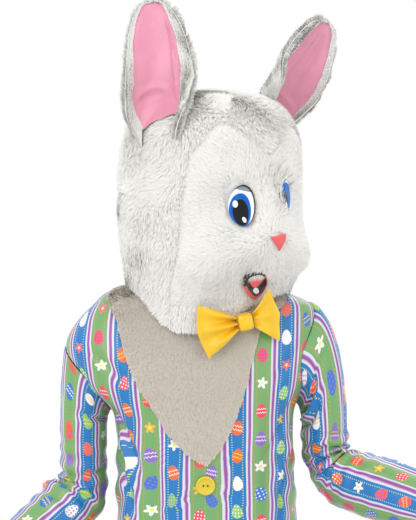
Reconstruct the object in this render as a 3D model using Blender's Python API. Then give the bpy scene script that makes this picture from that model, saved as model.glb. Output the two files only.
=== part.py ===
"""Easter bunny costume: a striped jacket with a fur chest panel, a rabbit mask and a bow tie.

Every piece is a hollow wall, as it is cut and sewn. Metres, +Z up. The front faces -Y and the
wearer's left is +X. The origin is on the torso's axis at the base of the neck, where the wearer
holds the costume up.
"""

import math

import bmesh
import bpy
from mathutils import Matrix, Vector
from mathutils.bvhtree import BVHTree

CLOTH_WALL = 0.002
CHEST_FUR_WALL = 0.007
CHEST_FUR_RISE = 0.003
MASK_FUR_WALL = 0.010
EAR_FUR_WALL = 0.009
EAR_EDGE_WALL = 0.004
SATIN_WALL = 0.0015
PLATE_WALL = 0.0025
SEAM_INSET = 0.00025
MASK_SEAM_INSET = 0.0005
LAID_ON_GAP = 0.0004

HEM_Z = -0.68
NECK_Z = 0.036
NECK_POINT_Z = 0.017
V_POINT_Z = -0.263
BODY_POWER = 2.5

# The jacket's horizontal sections: half widths to the wearer's right and left, half depths.
BODY_SECTIONS = (
    # z, right, left, front, back
    (-0.680, 0.176, 0.176, 0.126, 0.124),
    (-0.550, 0.171, 0.171, 0.125, 0.120),
    (-0.400, 0.156, 0.155, 0.122, 0.108),
    (-0.300, 0.152, 0.151, 0.124, 0.106),
    (-0.230, 0.152, 0.149, 0.127, 0.109),
    (-0.190, 0.158, 0.150, 0.128, 0.112),
    (-0.165, 0.178, 0.157, 0.128, 0.113),
    (-0.130, 0.212, 0.172, 0.124, 0.112),
    (-0.080, 0.237, 0.184, 0.116, 0.104),
    (-0.040, 0.222, 0.188, 0.104, 0.094),
    (-0.005, 0.188, 0.176, 0.090, 0.082),
    (0.017, 0.158, 0.128, 0.076, 0.074),
    (0.036, 0.078, 0.076, 0.060, 0.066),
)

# The edge of the V neck, as shares of the half width at each height.
V_EDGE = {
    "right": (
        # z, share
        (-0.263, 0.000),
        (-0.242, 0.216),
        (-0.201, 0.440),
        (-0.144, 0.522),
        (-0.080, 0.565),
        (-0.031, 0.680),
        (0.017, 1.000),
    ),
    "left": (
        (-0.263, 0.000),
        (-0.242, 0.135),
        (-0.193, 0.310),
        (-0.152, 0.374),
        (-0.063, 0.452),
        (-0.020, 0.580),
        (0.017, 1.000),
    ),
}

# Armholes: heights of the armpit and of the shoulder point, and how far the seam bows inwards.
ARMHOLES = {
    "right": {"pit_z": -0.186, "top_z": -0.078, "front_bow": 23.0, "back_bow": 23.0},
    "left": {"pit_z": -0.176, "top_z": -0.002, "front_bow": 31.0, "back_bow": 29.0},
}

# Arms: the sleeve's axis runs down from its start, turns at the elbow and goes out to the cuff.
ARMS = {
    "right": {
        "start": (-0.2080, 0.000, -0.220),
        "elbow": (-0.2080, 0.010, -0.332),
        "forearm": (-0.67, -0.50, -0.557),
        "bend_radius": 0.070,
        "forearm_length": 0.245,
    },
    "left": {
        "start": (0.2020, 0.000, -0.212),
        "elbow": (0.2020, 0.008, -0.294),
        "forearm": (0.75, -0.64, -0.160),
        "bend_radius": 0.062,
        "forearm_length": 0.245,
    },
}

# Sleeve radii from the armhole's end of the straight tube (0) to the cuff (1).
SLEEVE_RADII = (
    # share, across, front to back
    (0.00, 0.0400, 0.0560),
    (0.22, 0.0405, 0.0530),
    (0.36, 0.0490, 0.0500),
    (0.50, 0.0530, 0.0490),
    (0.75, 0.0500, 0.0480),
    (1.00, 0.0450, 0.0450),
)
ELBOW_FOLD_DEPTH = 0.0045
ELBOW_FOLD_LENGTH = 0.030
ELBOW_FOLD_REACH = 0.075
SEAM_PAST_BEND_START = 0.12
DRAPE_DEPTH = 0.0045
PULL_DEPTH = 0.0030
PULL_HEIGHT = (-0.30, 0.07)

SIDE_ROWS = 10
ARMHOLE_ROWS = 8
CENTRE_ROWS = 8
FRONT_ROWS = SIDE_ROWS + ARMHOLE_ROWS
FRONT_COLUMNS = 7
NECK_ROWS = 2
BACK_COLUMNS = 14
CHEST_COLUMNS = 8
SLEEVE_COLUMNS = 2 * ARMHOLE_ROWS
CAP_ROWS = 5
SLEEVE_ROW_LENGTH = 0.0150

MASK_AXIS = (0.010, 0.0)
MASK_YAW = 37.0
MASK_LOWEST_HEM = -0.040
MASK_HEM_CLEARANCE = 0.0041
MASK_BACK_POWER = 2.1

# The mask's horizontal sections from the neck up to the crown, in its own frame.
MASK_SECTIONS = (
    # level, z, half width, front, back, power of the front's curve
    (0.0, -0.045, 0.139, 0.1150, 0.143, 2.10),
    (1.0, -0.008, 0.140, 0.1160, 0.144, 2.05),
    (2.0, 0.030, 0.144, 0.1300, 0.146, 1.90),
    (3.0, 0.070, 0.151, 0.1620, 0.149, 1.75),
    (4.0, 0.107, 0.156, 0.1790, 0.152, 1.68),
    (5.0, 0.150, 0.159, 0.1660, 0.155, 1.72),
    (6.0, 0.195, 0.158, 0.1570, 0.157, 1.85),
    (7.0, 0.240, 0.155, 0.1540, 0.155, 1.95),
    (8.0, 0.282, 0.147, 0.1480, 0.148, 2.00),
    (9.0, 0.320, 0.126, 0.1280, 0.128, 2.00),
    (10.0, 0.347, 0.086, 0.0880, 0.088, 2.00),
    (11.0, 0.358, 0.000, 0.0000, 0.000, 2.00),
)

# Rounded swellings of the face: side angle, height, rise and the reach across and up.
FACE_SWELLINGS = (
    # side, z, rise, reach in degrees, reach in z
    (36.0, 0.068, 0.020, 17.0, 0.040),
    (13.0, 0.090, 0.007, 10.0, 0.024),
    (24.0, 0.205, 0.006, 15.0, 0.020),
    (25.0, 0.166, -0.013, 13.0, 0.040),
    (0.0, 0.160, 0.003, 13.0, 0.040),
)

MASK_COLUMNS = 38
FACE_HALF_COLUMNS = 8
ROWS_TO_CHIN = 3
ROWS_TO_BACK_SEAM = 8
ROWS_TO_BROW = 12
MASK_ROWS = 18

# Where the face panel ends at each side, and the heart shape of its upper edge.
FACE_SIDE_ANGLES = (
    # level, degrees from straight ahead
    (0.0, 62.0),
    (2.0, 62.0),
    (4.0, 57.0),
    (5.3, 54.0),
    (7.2, 49.0),
    (11.0, 49.0),
)
BROW_LEVELS = (
    # degrees from straight ahead, level
    (0.0, 6.95),
    (14.0, 7.85),
    (32.0, 8.30),
    (49.0, 7.20),
    (80.0, 7.30),
    (180.0, 7.60),
)
CHIN_LEVEL = 1.25
NECK_BAND_LEVELS = 0.7
BACK_SEAM_LEVELS = (
    # degrees from straight ahead, level
    (0.0, 5.10),
    (55.0, 5.15),
    (110.0, 5.75),
    (180.0, 5.90),
)

FACE_ROLL = 7.0
FACE_RADIUS = 0.155
NOSE_Z = 0.107

# Ears: the back's middle at the base and the tip, and the way the opening faces there.
EARS = {
    "right": {
        "base": (-0.056, -0.091),
        "base_facing": -34.0,
        "tip": (-0.084, -0.055, 0.502),
        "tip_facing": -8.0,
        "satin": (-0.86, 0.58),
        "seat": 0.0026,
    },
    "left": {
        "base": (0.100, 0.020),
        "base_facing": 60.0,
        "tip": (0.195, 0.035, 0.478),
        "tip_facing": 40.0,
        "satin": (-0.50, 0.86),
        "seat": 0.0021,
    },
}
EAR_TWIST_END = 0.6
EAR_SHAPE = (
    # share of length, half width, half angle of the curled section, depth as a share of width
    (0.00, 0.042, 124.0, 0.55),
    (0.10, 0.050, 116.0, 0.60),
    (0.25, 0.056, 92.0, 0.80),
    (0.45, 0.058, 66.0, 1.00),
    (0.65, 0.053, 52.0, 1.00),
    (0.82, 0.043, 42.0, 1.00),
    (0.93, 0.029, 36.0, 1.00),
    (0.98, 0.016, 32.0, 1.00),
    (1.00, 0.000, 30.0, 1.00),
)
SATIN_LOW_ROW = 0.30
EAR_ROWS = 10
EAR_COLUMNS = 14

EYE_OFFSET = (0.050, 0.063)
EYE_HALF_SIZE = (0.0220, 0.0350)
EYE_LEAN = 22.0
NOSE_HALF_WIDTH = 0.0235
NOSE_HEIGHT = 0.026
NOSE_SOFTNESS = 0.15
NOSE_RISE = 0.008
MOUTH_CENTRE = (-0.025, -0.062)
MOUTH_HALF_WIDTH = 0.030
MOUTH_DEPTH = 0.034
MOUTH_TOP_RISE = 0.016
MOUTH_SLANT = (-0.20, -0.28)
LIP_RISE = 0.005
PLATE_SEAT = 0.0010
EYE_SEATS = {"right": 0.0018, "left": 0.0013}
PLATE_EDGE = 0.0015

BOW_CENTRE = (0.064, -0.1172, -0.027)
BOW_YAW = 15.0
BOW_TILT = 12.0
BOW_WING_LENGTHS = {"right": 0.058, "left": 0.036}
BOW_WING_INNER_HALF = 0.0125
BOW_WING_OUTER_HALF = 0.0445
BOW_WING_START = 0.0149
BOW_WING_FORWARD = 0.003
BOW_WALL = 0.003
BOW_PLEAT_DEPTH = 0.0045
BOW_PUFF = 0.007
BOW_ROUND_END = 0.010
KNOT_HALF_SIZE = (0.0145, 0.0150, 0.0145)

BUTTON_Z = -0.296
BUTTON_RADIUS = 0.016
BUTTON_THICKNESS = 0.0035
BUTTON_RIM_RISE = 0.0012
BUTTON_RIM_WIDTH = 0.0023
BUTTON_BEVEL = 0.0012
BUTTON_SEAT = 0.0007
BUTTON_HOLE_RADIUS = 0.0016
BUTTON_HOLE_OFFSET = 0.0035


def clear_scene():
    for thing in list(bpy.data.objects):
        bpy.data.objects.remove(thing, do_unlink=True)


def material(name, color, roughness):
    """A plain finish, shared by every piece that has the same name for it."""
    made = bpy.data.materials.get(name)
    if made is None:
        made = bpy.data.materials.new(name)
        made.use_nodes = True
        shader = made.node_tree.nodes["Principled BSDF"]
        shader.inputs["Base Color"].default_value = (*color, 1.0)
        shader.inputs["Roughness"].default_value = roughness
        shader.inputs["Metallic"].default_value = 0.0
    return made


def satin_print():
    return material("striped satin", (0.16, 0.50, 0.42), 0.40)


def white_fur():
    return material("white fur", (0.86, 0.86, 0.84), 0.95)


def cream_fur():
    return material("cream fur", (0.84, 0.78, 0.68), 0.95)


def pink_satin():
    return material("pink satin", (0.90, 0.48, 0.58), 0.35)


def yellow_satin():
    return material("yellow satin", (0.96, 0.74, 0.04), 0.35)


def yellow_plastic():
    return material("yellow plastic", (0.92, 0.74, 0.08), 0.35)


def coral():
    return material("coral", (0.88, 0.22, 0.20), 0.45)


def eye_print():
    return material("eye print", (0.05, 0.22, 0.62), 0.30)


def smooth_row(rows, key):
    """Every column after the first, read from a smooth curve through the rows."""
    last = len(rows) - 1
    key = min(max(key, rows[0][0]), rows[last][0])
    low = 0
    while low < last - 1 and rows[low + 1][0] <= key:
        low += 1
    span = rows[low + 1][0] - rows[low][0]
    t = (key - rows[low][0]) / span
    values = []
    for column in range(1, len(rows[0])):
        slopes = []
        for index in (low, low + 1):
            before, after = max(index - 1, 0), min(index + 1, last)
            rise = rows[after][column] - rows[before][column]
            slopes.append(rise / (rows[after][0] - rows[before][0]) * span)
        start, end = rows[low][column], rows[low + 1][column]
        values.append(
            (2 * t**3 - 3 * t**2 + 1) * start
            + (t**3 - 2 * t**2 + t) * slopes[0]
            + (3 * t**2 - 2 * t**3) * end
            + (t**3 - t**2) * slopes[1]
        )
    return values


def straight_row(rows, key):
    """The second column, read from straight lines between the rows."""
    if key <= rows[0][0]:
        return rows[0][1]
    for low, high in zip(rows, rows[1:]):
        if key <= high[0]:
            return low[1] + (high[1] - low[1]) * (key - low[0]) / (high[0] - low[0])
    return rows[-1][1]


def mix(start, end, share):
    return start + (end - start) * share


def ease(low, high, value):
    """Rises smoothly from 0 at low to 1 at high."""
    share = min(max((value - low) / (high - low), 0.0), 1.0)
    return share * share * (3.0 - 2.0 * share)


def signed_power(value, power):
    return math.copysign(abs(value) ** power, value)


def normals_of(points, closed, outward):
    """Surface normals of a grid of points, turned to the side that outward(row, column) gives."""
    last_row, width = len(points) - 1, len(points[0])
    normals = []
    for r, row in enumerate(points):
        line = []
        for c in range(width):
            left = (c - 1) % width if closed else max(c - 1, 0)
            right = (c + 1) % width if closed else min(c + 1, width - 1)
            across = row[right] - row[left]
            along = points[min(r + 1, last_row)][c] - points[max(r - 1, 0)][c]
            normal = across.cross(along)
            if normal.length < 1e-12:
                normal = outward(r, c).copy()
            normal.normalize()
            if normal.dot(outward(r, c)) < 0.0:
                normal.negate()
            line.append(normal)
        normals.append(line)
    return normals


class Wall:
    """A closed wall between an outer and an inner grid of points, over a set of cells."""

    def __init__(self, outer, inner, cells, closed=False, inset=SEAM_INSET):
        self.outer = outer
        self.inner = inner
        self.cells = list(cells)
        self.width = len(outer[0]) if closed else None
        self.inset = inset

    def key(self, r, c):
        if self.width:
            c %= self.width
        return r, c

    def corners(self, cell):
        r, c = cell
        return [self.key(r, c), self.key(r, c + 1), self.key(r + 1, c + 1), self.key(r + 1, c)]

    def build(self, name, finish):
        merged, index_of = {}, {}
        for cell in self.cells:
            for key in self.corners(cell):
                point = self.outer[key[0]][key[1]]
                place = tuple(round(value, 7) for value in point)
                index_of[key] = merged.setdefault(place, len(merged))
        faces, sums, grid_key = [], {}, {}
        for cell in self.cells:
            keys = self.corners(cell)
            centre = {True: Vector(), False: Vector()}
            for r, c in keys:
                centre[True] += self.outer[r][c] / 4.0
                centre[False] += self.inner[r][c] / 4.0
            face = []
            for key in keys:
                index = index_of[key]
                grid_key.setdefault(index, key)
                if index not in face:
                    face.append(index)
            if len(face) < 3:
                continue
            faces.append(face)
            for index in face:
                total = sums.setdefault(index, [Vector(), Vector(), 0])
                total[0] += centre[True]
                total[1] += centre[False]
                total[2] += 1
        edges = {}
        for face in faces:
            for a, b in zip(face, face[1:] + face[:1]):
                edges[(a, b)] = True
        rim = [(a, b) for a, b in edges if (b, a) not in edges]
        rim_points = {index for edge in rim for index in edge}
        order = sorted(grid_key)
        slot = {index: place for place, index in enumerate(order)}
        vertices = []
        for layer, grid in enumerate((self.outer, self.inner)):
            for index in order:
                r, c = grid_key[index]
                point = grid[r][c].copy()
                if index in rim_points:
                    total = sums[index]
                    inward = total[layer] / total[2] - point
                    reach = self.inset * (1.6 if total[2] != 2 else 1.0)
                    point += inward.normalized() * reach
                vertices.append(point)
        count = len(order)
        polygons = [[slot[i] for i in face] for face in faces]
        polygons += [[slot[i] + count for i in reversed(face)] for face in faces]
        polygons += [
            [slot[b], slot[a], slot[a] + count, slot[b] + count] for a, b in rim
        ]
        return solid(name, vertices, polygons, finish)


def solid(name, vertices, polygons, finish):
    """An object from points and faces, triangulated and turned to face out."""
    mesh = bpy.data.meshes.new(name)
    mesh.from_pydata([tuple(v) for v in vertices], [], polygons)
    mesh.validate()
    made = bpy.data.objects.new(name, mesh)
    bpy.context.scene.collection.objects.link(made)
    face_outwards(mesh)
    mesh.materials.append(finish)
    mesh.shade_smooth()
    mesh.set_sharp_from_angle(angle=math.radians(40.0))
    return made


def face_outwards(mesh):
    """Triangulates a closed mesh and turns its faces out."""
    work = bmesh.new()
    work.from_mesh(mesh)
    bmesh.ops.recalc_face_normals(work, faces=work.faces)
    bmesh.ops.triangulate(work, faces=work.faces)
    if work.calc_volume(signed=True) < 0.0:
        bmesh.ops.reverse_faces(work, faces=work.faces)
    work.to_mesh(mesh)
    work.free()


def all_cells(rows, columns):
    return [(r, c) for r in range(rows) for c in range(columns)]


# Torso

def body_fold(angle, z):
    """Soft drapes: long waves towards the hem and slanting pulls that start at the button."""
    low = ease(-0.27, -0.42, z)
    drape = DRAPE_DEPTH * low * math.sin(math.radians(angle) * 5.0 + 0.9 + 3.0 * z)
    side = ease(25.0, 60.0, abs(angle)) * ease(130.0, 95.0, abs(angle))
    waist = math.exp(-(((z - PULL_HEIGHT[0]) / PULL_HEIGHT[1]) ** 2))
    pull = PULL_DEPTH * side * waist * math.sin((z + 0.0012 * abs(angle)) * 105.0)
    return drape + pull


def body_base(angle, z):
    right, left, front, back = smooth_row(BODY_SECTIONS, z)
    across, ahead = math.sin(math.radians(angle)), math.cos(math.radians(angle))
    width = left if across > 0.0 else right
    depth = front if ahead > 0.0 else back
    power = 2.0 / BODY_POWER
    return Vector(
        (width * signed_power(across, power), -depth * signed_power(ahead, power), z)
    )


def body_normal(angle, z):
    """The outward direction of the torso's surface, angle 0 straight ahead and 90 at the left."""
    turn, step = 1.5, 0.002
    across = body_base(angle + turn, z) - body_base(angle - turn, z)
    high, low = min(z + step, NECK_Z), max(z - step, HEM_Z)
    up = body_base(angle, high) - body_base(angle, low)
    return across.cross(up).normalized()


def body_point(angle, z):
    return body_base(angle, z) + body_normal(angle, z) * body_fold(angle, z)


def turn_of(side):
    return -1.0 if side == "right" else 1.0


def side_edge(side, row, bow_name):
    """Angle and height of the side seam and armhole at a row of a front or back panel."""
    hole = ARMHOLES[side]
    if row <= SIDE_ROWS:
        return 90.0, mix(HEM_Z, hole["pit_z"], row / SIDE_ROWS)
    share = (row - SIDE_ROWS) / ARMHOLE_ROWS
    along = (1.0 - math.cos(math.pi * share)) / 2.0
    angle = 90.0 - hole[bow_name] * math.sin(math.pi * along)
    return angle, mix(hole["pit_z"], hole["top_z"], along)


def centre_edge(side, row):
    """Angle and height of the centre front below the V, then of the V's edge."""
    if row <= CENTRE_ROWS:
        return 0.0, mix(HEM_Z, V_POINT_Z, row / CENTRE_ROWS)
    share = (row - CENTRE_ROWS) / (FRONT_ROWS - CENTRE_ROWS)
    z = mix(V_POINT_Z, NECK_POINT_Z, share)
    across = min(max(smooth_row(V_EDGE[side], z)[0], 0.0), 1.0)
    if row == FRONT_ROWS:
        across = 1.0
    return math.degrees(math.asin(across ** (BODY_POWER / 2.0))), z


def armhole_ring(side):
    """Angles and heights round the armhole: armpit, front, shoulder point, back."""
    ring = []
    for row in range(SIDE_ROWS, FRONT_ROWS):
        angle, z = side_edge(side, row, "front_bow")
        ring.append((turn_of(side) * angle, z))
    for row in range(FRONT_ROWS, SIDE_ROWS, -1):
        angle, z = side_edge(side, row, "back_bow")
        ring.append((turn_of(side) * (180.0 - angle), z))
    return ring


def armhole_slot(row, back):
    """The place in the armhole's ring of a panel's row."""
    step = row - SIDE_ROWS
    return (SLEEVE_COLUMNS - step) % SLEEVE_COLUMNS if back else step


def panel_walls(grid, outer_rise, wall, fixed=None):
    """Outer and inner points of a torso panel from its angles and heights."""
    outer, inner = [], []
    for r, row in enumerate(grid):
        outer.append([])
        inner.append([])
        for c, (angle, z) in enumerate(row):
            normal = fixed.get((r, c)) if fixed else None
            if normal is None:
                normal = body_normal(angle, z)
            point = body_point(angle, z) + normal * outer_rise
            outer[-1].append(point)
            inner[-1].append(point - normal * wall)
    return outer, inner


def build_front(side, armhole_normals):
    turn = turn_of(side)
    grid, fixed = [], {}
    for row in range(FRONT_ROWS + 1):
        centre_angle, centre_z = centre_edge(side, row)
        side_angle, side_z = side_edge(side, row, "front_bow")
        line = []
        for column in range(FRONT_COLUMNS + 1):
            share = column / FRONT_COLUMNS
            line.append(
                (turn * mix(centre_angle, side_angle, share), mix(centre_z, side_z, share))
            )
        grid.append(line)
        if row >= SIDE_ROWS:
            fixed[(row, FRONT_COLUMNS)] = armhole_normals[side][armhole_slot(row, False)]
    outer, inner = panel_walls(grid, 0.0, CLOTH_WALL, fixed)
    cells = all_cells(FRONT_ROWS, FRONT_COLUMNS)
    return Wall(outer, inner, cells).build("jacket_front_" + side, satin_print())


def back_edge(side, row):
    """Angle and height of the back panel's side: seam, armhole, shoulder and neck point."""
    if row <= FRONT_ROWS:
        return side_edge(side, row, "back_bow")
    top_z = ARMHOLES[side]["top_z"]
    if row <= FRONT_ROWS + FRONT_COLUMNS:
        share = (row - FRONT_ROWS) / FRONT_COLUMNS
        return 90.0, mix(top_z, NECK_POINT_Z, share)
    share = (row - FRONT_ROWS - FRONT_COLUMNS) / NECK_ROWS
    return 90.0, mix(NECK_POINT_Z, NECK_Z, share)


def build_back(armhole_normals):
    rows = FRONT_ROWS + FRONT_COLUMNS + NECK_ROWS
    grid, fixed = [], {}
    for row in range(rows + 1):
        right_angle, right_z = back_edge("right", row)
        left_angle, left_z = back_edge("left", row)
        start, end = right_angle - 180.0, -180.0 - left_angle
        line = []
        for column in range(BACK_COLUMNS + 1):
            share = column / BACK_COLUMNS
            line.append((mix(start, end, share), mix(right_z, left_z, share)))
        grid.append(line)
        if SIDE_ROWS <= row <= FRONT_ROWS:
            slot = armhole_slot(row, True)
            fixed[(row, 0)] = armhole_normals["right"][slot]
            fixed[(row, BACK_COLUMNS)] = armhole_normals["left"][slot]
    outer, inner = panel_walls(grid, 0.0, CLOTH_WALL, fixed)
    cells = all_cells(rows, BACK_COLUMNS)
    return Wall(outer, inner, cells).build("jacket_back", satin_print())


def chest_grid():
    """Angles and heights of the chest panel between the edges of the V, up to the neck."""
    grid = []
    v_rows = FRONT_ROWS - CENTRE_ROWS
    for row in range(v_rows + NECK_ROWS + 1):
        if row <= v_rows:
            right_angle, z = centre_edge("right", CENTRE_ROWS + row)
            left_angle = centre_edge("left", CENTRE_ROWS + row)[0]
        else:
            right_angle = left_angle = 90.0
            z = mix(NECK_POINT_Z, NECK_Z, (row - v_rows) / NECK_ROWS)
        line = []
        for column in range(CHEST_COLUMNS + 1):
            line.append((mix(-right_angle, left_angle, column / CHEST_COLUMNS), z))
        grid.append(line)
    return grid


def build_chest_panel():
    grid = chest_grid()
    outer, inner = panel_walls(grid, CHEST_FUR_RISE, CHEST_FUR_WALL)
    cells = all_cells(len(grid) - 1, CHEST_COLUMNS)
    return Wall(outer, inner, cells).build("chest_panel", cream_fur())


# Sleeves

class Arm:
    """The axis of a sleeve: straight down, round the elbow, then straight to the cuff."""

    def __init__(self, side):
        arm = ARMS[side]
        self.start = Vector(arm["start"])
        elbow = Vector(arm["elbow"])
        self.down = (elbow - self.start).normalized()
        self.out = Vector(arm["forearm"]).normalized()
        self.turn = self.down.angle(self.out)
        self.radius = arm["bend_radius"]
        self.hinge = self.down.cross(self.out).normalized()
        cut = self.radius * math.tan(self.turn / 2.0)
        self.upper_length = (elbow - self.start).length - cut
        self.bend_length = self.radius * self.turn
        self.length = self.upper_length + self.bend_length + arm["forearm_length"] - cut
        self.bend_start = self.start + self.down * self.upper_length
        self.inside = self.hinge.cross(self.down).normalized()
        across = Vector((turn_of(side), 0.0, 0.0))
        self.across = (across - self.down * across.dot(self.down)).normalized()
        ahead = Vector((0.0, -1.0, 0.0))
        self.ahead = (ahead - self.down * ahead.dot(self.down)).normalized()

    def place(self, distance):
        """The axis point, and the rotation from the upper arm's directions to those there."""
        if distance <= self.upper_length:
            return self.start + self.down * distance, Matrix.Identity(3)
        angle = min((distance - self.upper_length) / self.radius, self.turn)
        rotation = Matrix.Rotation(angle, 3, self.hinge)
        middle = self.bend_start + self.inside * self.radius
        point = middle + rotation @ (self.bend_start - middle)
        beyond = distance - self.upper_length - self.bend_length
        if beyond > 0.0:
            point += self.out * beyond
        return point, rotation

    def ring_point(self, distance, share):
        """A point of the sleeve, share 0 at the armpit's side, 0.25 in front, 0.5 outside."""
        centre, rotation = self.place(distance)
        across, depth = smooth_row(SLEEVE_RADII, distance / self.length)
        around = 2.0 * math.pi * share
        flat = -self.across * math.cos(around) * across + self.ahead * math.sin(around) * depth
        direction = flat.normalized()
        size = flat.length + self.fold(distance, direction)
        return centre + rotation @ (direction * size)

    def fold(self, distance, direction):
        """Gathers on the inside of the elbow, which fade round the arm and away from the bend."""
        middle = self.upper_length + self.bend_length / 2.0
        near = math.exp(-(((distance - middle) / ELBOW_FOLD_REACH) ** 2))
        inside = 0.35 + 0.65 * max(direction.dot(self.inside), 0.0)
        wave = math.sin(2.0 * math.pi * (distance - middle) / ELBOW_FOLD_LENGTH)
        return ELBOW_FOLD_DEPTH * near * inside * wave


def sleeve_points(side):
    """Rings of points from the armhole to the cuff, and the row of the seam above the elbow."""
    arm = Arm(side)
    armhole = [body_point(angle, z) for angle, z in armhole_ring(side)]
    rings = []
    for row in range(CAP_ROWS):
        turn = row / CAP_ROWS * math.pi / 2.0
        ring = []
        for column, start in enumerate(armhole):
            end = arm.ring_point(0.0, column / SLEEVE_COLUMNS)
            ring.append(
                Vector(
                    (
                        mix(start.x, end.x, math.sin(turn)),
                        mix(start.y, end.y, math.sin(turn)),
                        mix(start.z, end.z, 1.0 - math.cos(turn)),
                    )
                )
            )
        rings.append(ring)
    rows = round(arm.length / SLEEVE_ROW_LENGTH)
    seam_distance = arm.upper_length + SEAM_PAST_BEND_START * arm.bend_length
    seam_row = CAP_ROWS + round(seam_distance / SLEEVE_ROW_LENGTH)
    for row in range(rows + 1):
        distance = arm.length * row / rows
        ring = [
            arm.ring_point(distance, column / SLEEVE_COLUMNS)
            for column in range(SLEEVE_COLUMNS)
        ]
        rings.append(ring)
    return rings, seam_row


def sleeve_normals(rings):
    centres = [sum(ring, Vector()) / len(ring) for ring in rings]
    return normals_of(rings, True, lambda r, c: rings[r][c] - centres[r])


def armhole_normals_of(side, rings):
    """The wall's direction at the armhole: halfway between the torso's and the sleeve's."""
    sleeve = sleeve_normals(rings[:2])[0]
    halfway = []
    for (angle, z), normal in zip(armhole_ring(side), sleeve):
        halfway.append((body_normal(angle, z) + normal * 0.9).normalized())
    return halfway


def build_sleeve(side, rings, seam_row, armhole_normals):
    normals = sleeve_normals(rings)
    normals[0] = armhole_normals[side]
    inner = [
        [point - normal * CLOTH_WALL for point, normal in zip(ring, line)]
        for ring, line in zip(rings, normals)
    ]
    cells = all_cells(len(rings) - 1, SLEEVE_COLUMNS)
    upper = [cell for cell in cells if cell[0] < seam_row]
    lower = [cell for cell in cells if cell[0] >= seam_row]
    Wall(rings, inner, upper, closed=True).build(f"sleeve_{side}_upper", satin_print())
    Wall(rings, inner, lower, closed=True).build(f"sleeve_{side}_lower", satin_print())


# Mask

def level_of_height(z):
    """The level of the mask's sections that lies at a height."""
    low, high = MASK_SECTIONS[0][0], MASK_SECTIONS[-1][0]
    for _ in range(40):
        middle = (low + high) / 2.0
        if smooth_row(MASK_SECTIONS, middle)[0] < z:
            low = middle
        else:
            high = middle
    return low


def face_swelling(angle, z):
    rise = 0.0
    for side, height, amount, reach, spread in FACE_SWELLINGS:
        for centre in (side, -side):
            away = ((angle - centre) / reach) ** 2 + ((z - height) / spread) ** 2
            rise += amount * math.exp(-away)
    return rise


def mask_point(angle, level):
    """A point of the mask's outer surface, angle 0 straight ahead of the face."""
    angle = (angle + 180.0) % 360.0 - 180.0
    z, width, front, back, front_power = smooth_row(MASK_SECTIONS, level)
    across, ahead = math.sin(math.radians(angle)), math.cos(math.radians(angle))
    depth, power = (front, front_power) if ahead > 0.0 else (back, MASK_BACK_POWER)
    x = width * signed_power(across, 2.0 / power)
    y = -depth * signed_power(ahead, 2.0 / power)
    size = math.hypot(x, y)
    if size > 1e-6:
        grow = 1.0 + face_swelling(angle, z) / size
        x, y = x * grow, y * grow
    yaw = math.radians(MASK_YAW)
    return Vector(
        (
            MASK_AXIS[0] + x * math.cos(yaw) - y * math.sin(yaw),
            MASK_AXIS[1] + x * math.sin(yaw) + y * math.cos(yaw),
            z,
        )
    )


def mask_normal(angle, level):
    turn, step = 1.0, 0.03
    across = mask_point(angle + turn, level) - mask_point(angle - turn, level)
    high = min(level + step, MASK_SECTIONS[-1][0])
    up = mask_point(angle, high) - mask_point(angle, max(level - step, 0.0))
    normal = across.cross(up)
    if normal.length < 1e-12:
        return Vector((0.0, 0.0, 1.0))
    return normal.normalized()


def body_reach(direction, z):
    """How far the clothed torso reaches from the mask's axis in a level direction."""
    low, high = 0.0, 0.40
    right, left, front, back = smooth_row(BODY_SECTIONS, z)
    for _ in range(30):
        middle = (low + high) / 2.0
        x = MASK_AXIS[0] + direction.x * middle
        y = MASK_AXIS[1] + direction.y * middle
        width = left if x > 0.0 else right
        depth = front if y < 0.0 else back
        inside = abs(x / width) ** BODY_POWER + abs(y / depth) ** BODY_POWER < 1.0
        low, high = (middle, high) if inside else (low, middle)
    return low + CHEST_FUR_RISE


def hem_level(angle):
    """The lowest level at which the mask's lining is still clear of the torso."""
    axis = Vector((*MASK_AXIS, 0.0))
    low, high = level_of_height(MASK_LOWEST_HEM), level_of_height(NECK_Z)
    for _ in range(30):
        middle = (low + high) / 2.0
        point = mask_point(angle, middle)
        away = Vector((point.x, point.y, 0.0)) - axis
        lining = away.length - MASK_FUR_WALL
        clear = lining > body_reach(away.normalized(), point.z) + MASK_HEM_CLEARANCE
        low, high = (low, middle) if clear else (middle, high)
    return high


def column_angle(column, level):
    """Columns keep to the face panel's side edges, and share out the rest of the way round."""
    edge = smooth_row(FACE_SIDE_ANGLES, level)[0]
    if abs(column) <= FACE_HALF_COLUMNS:
        return edge * column / FACE_HALF_COLUMNS
    rest = (abs(column) - FACE_HALF_COLUMNS) / (MASK_COLUMNS // 2 - FACE_HALF_COLUMNS)
    return math.copysign(mix(edge, 180.0, rest), column)


def mask_level(row, angle, hem):
    """Rows keep to the chin, the seam at the back and the brow."""
    away = abs(angle)
    brow = smooth_row(BROW_LEVELS, away)[0]
    seam = smooth_row(BACK_SEAM_LEVELS, away)[0]
    top = MASK_SECTIONS[-1][0]
    marks = (
        (0, hem),
        (ROWS_TO_CHIN, max(CHIN_LEVEL, hem + NECK_BAND_LEVELS)),
        (ROWS_TO_BACK_SEAM, seam),
        (ROWS_TO_BROW, brow),
        (MASK_ROWS, top),
    )
    return straight_row(marks, row)


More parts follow.
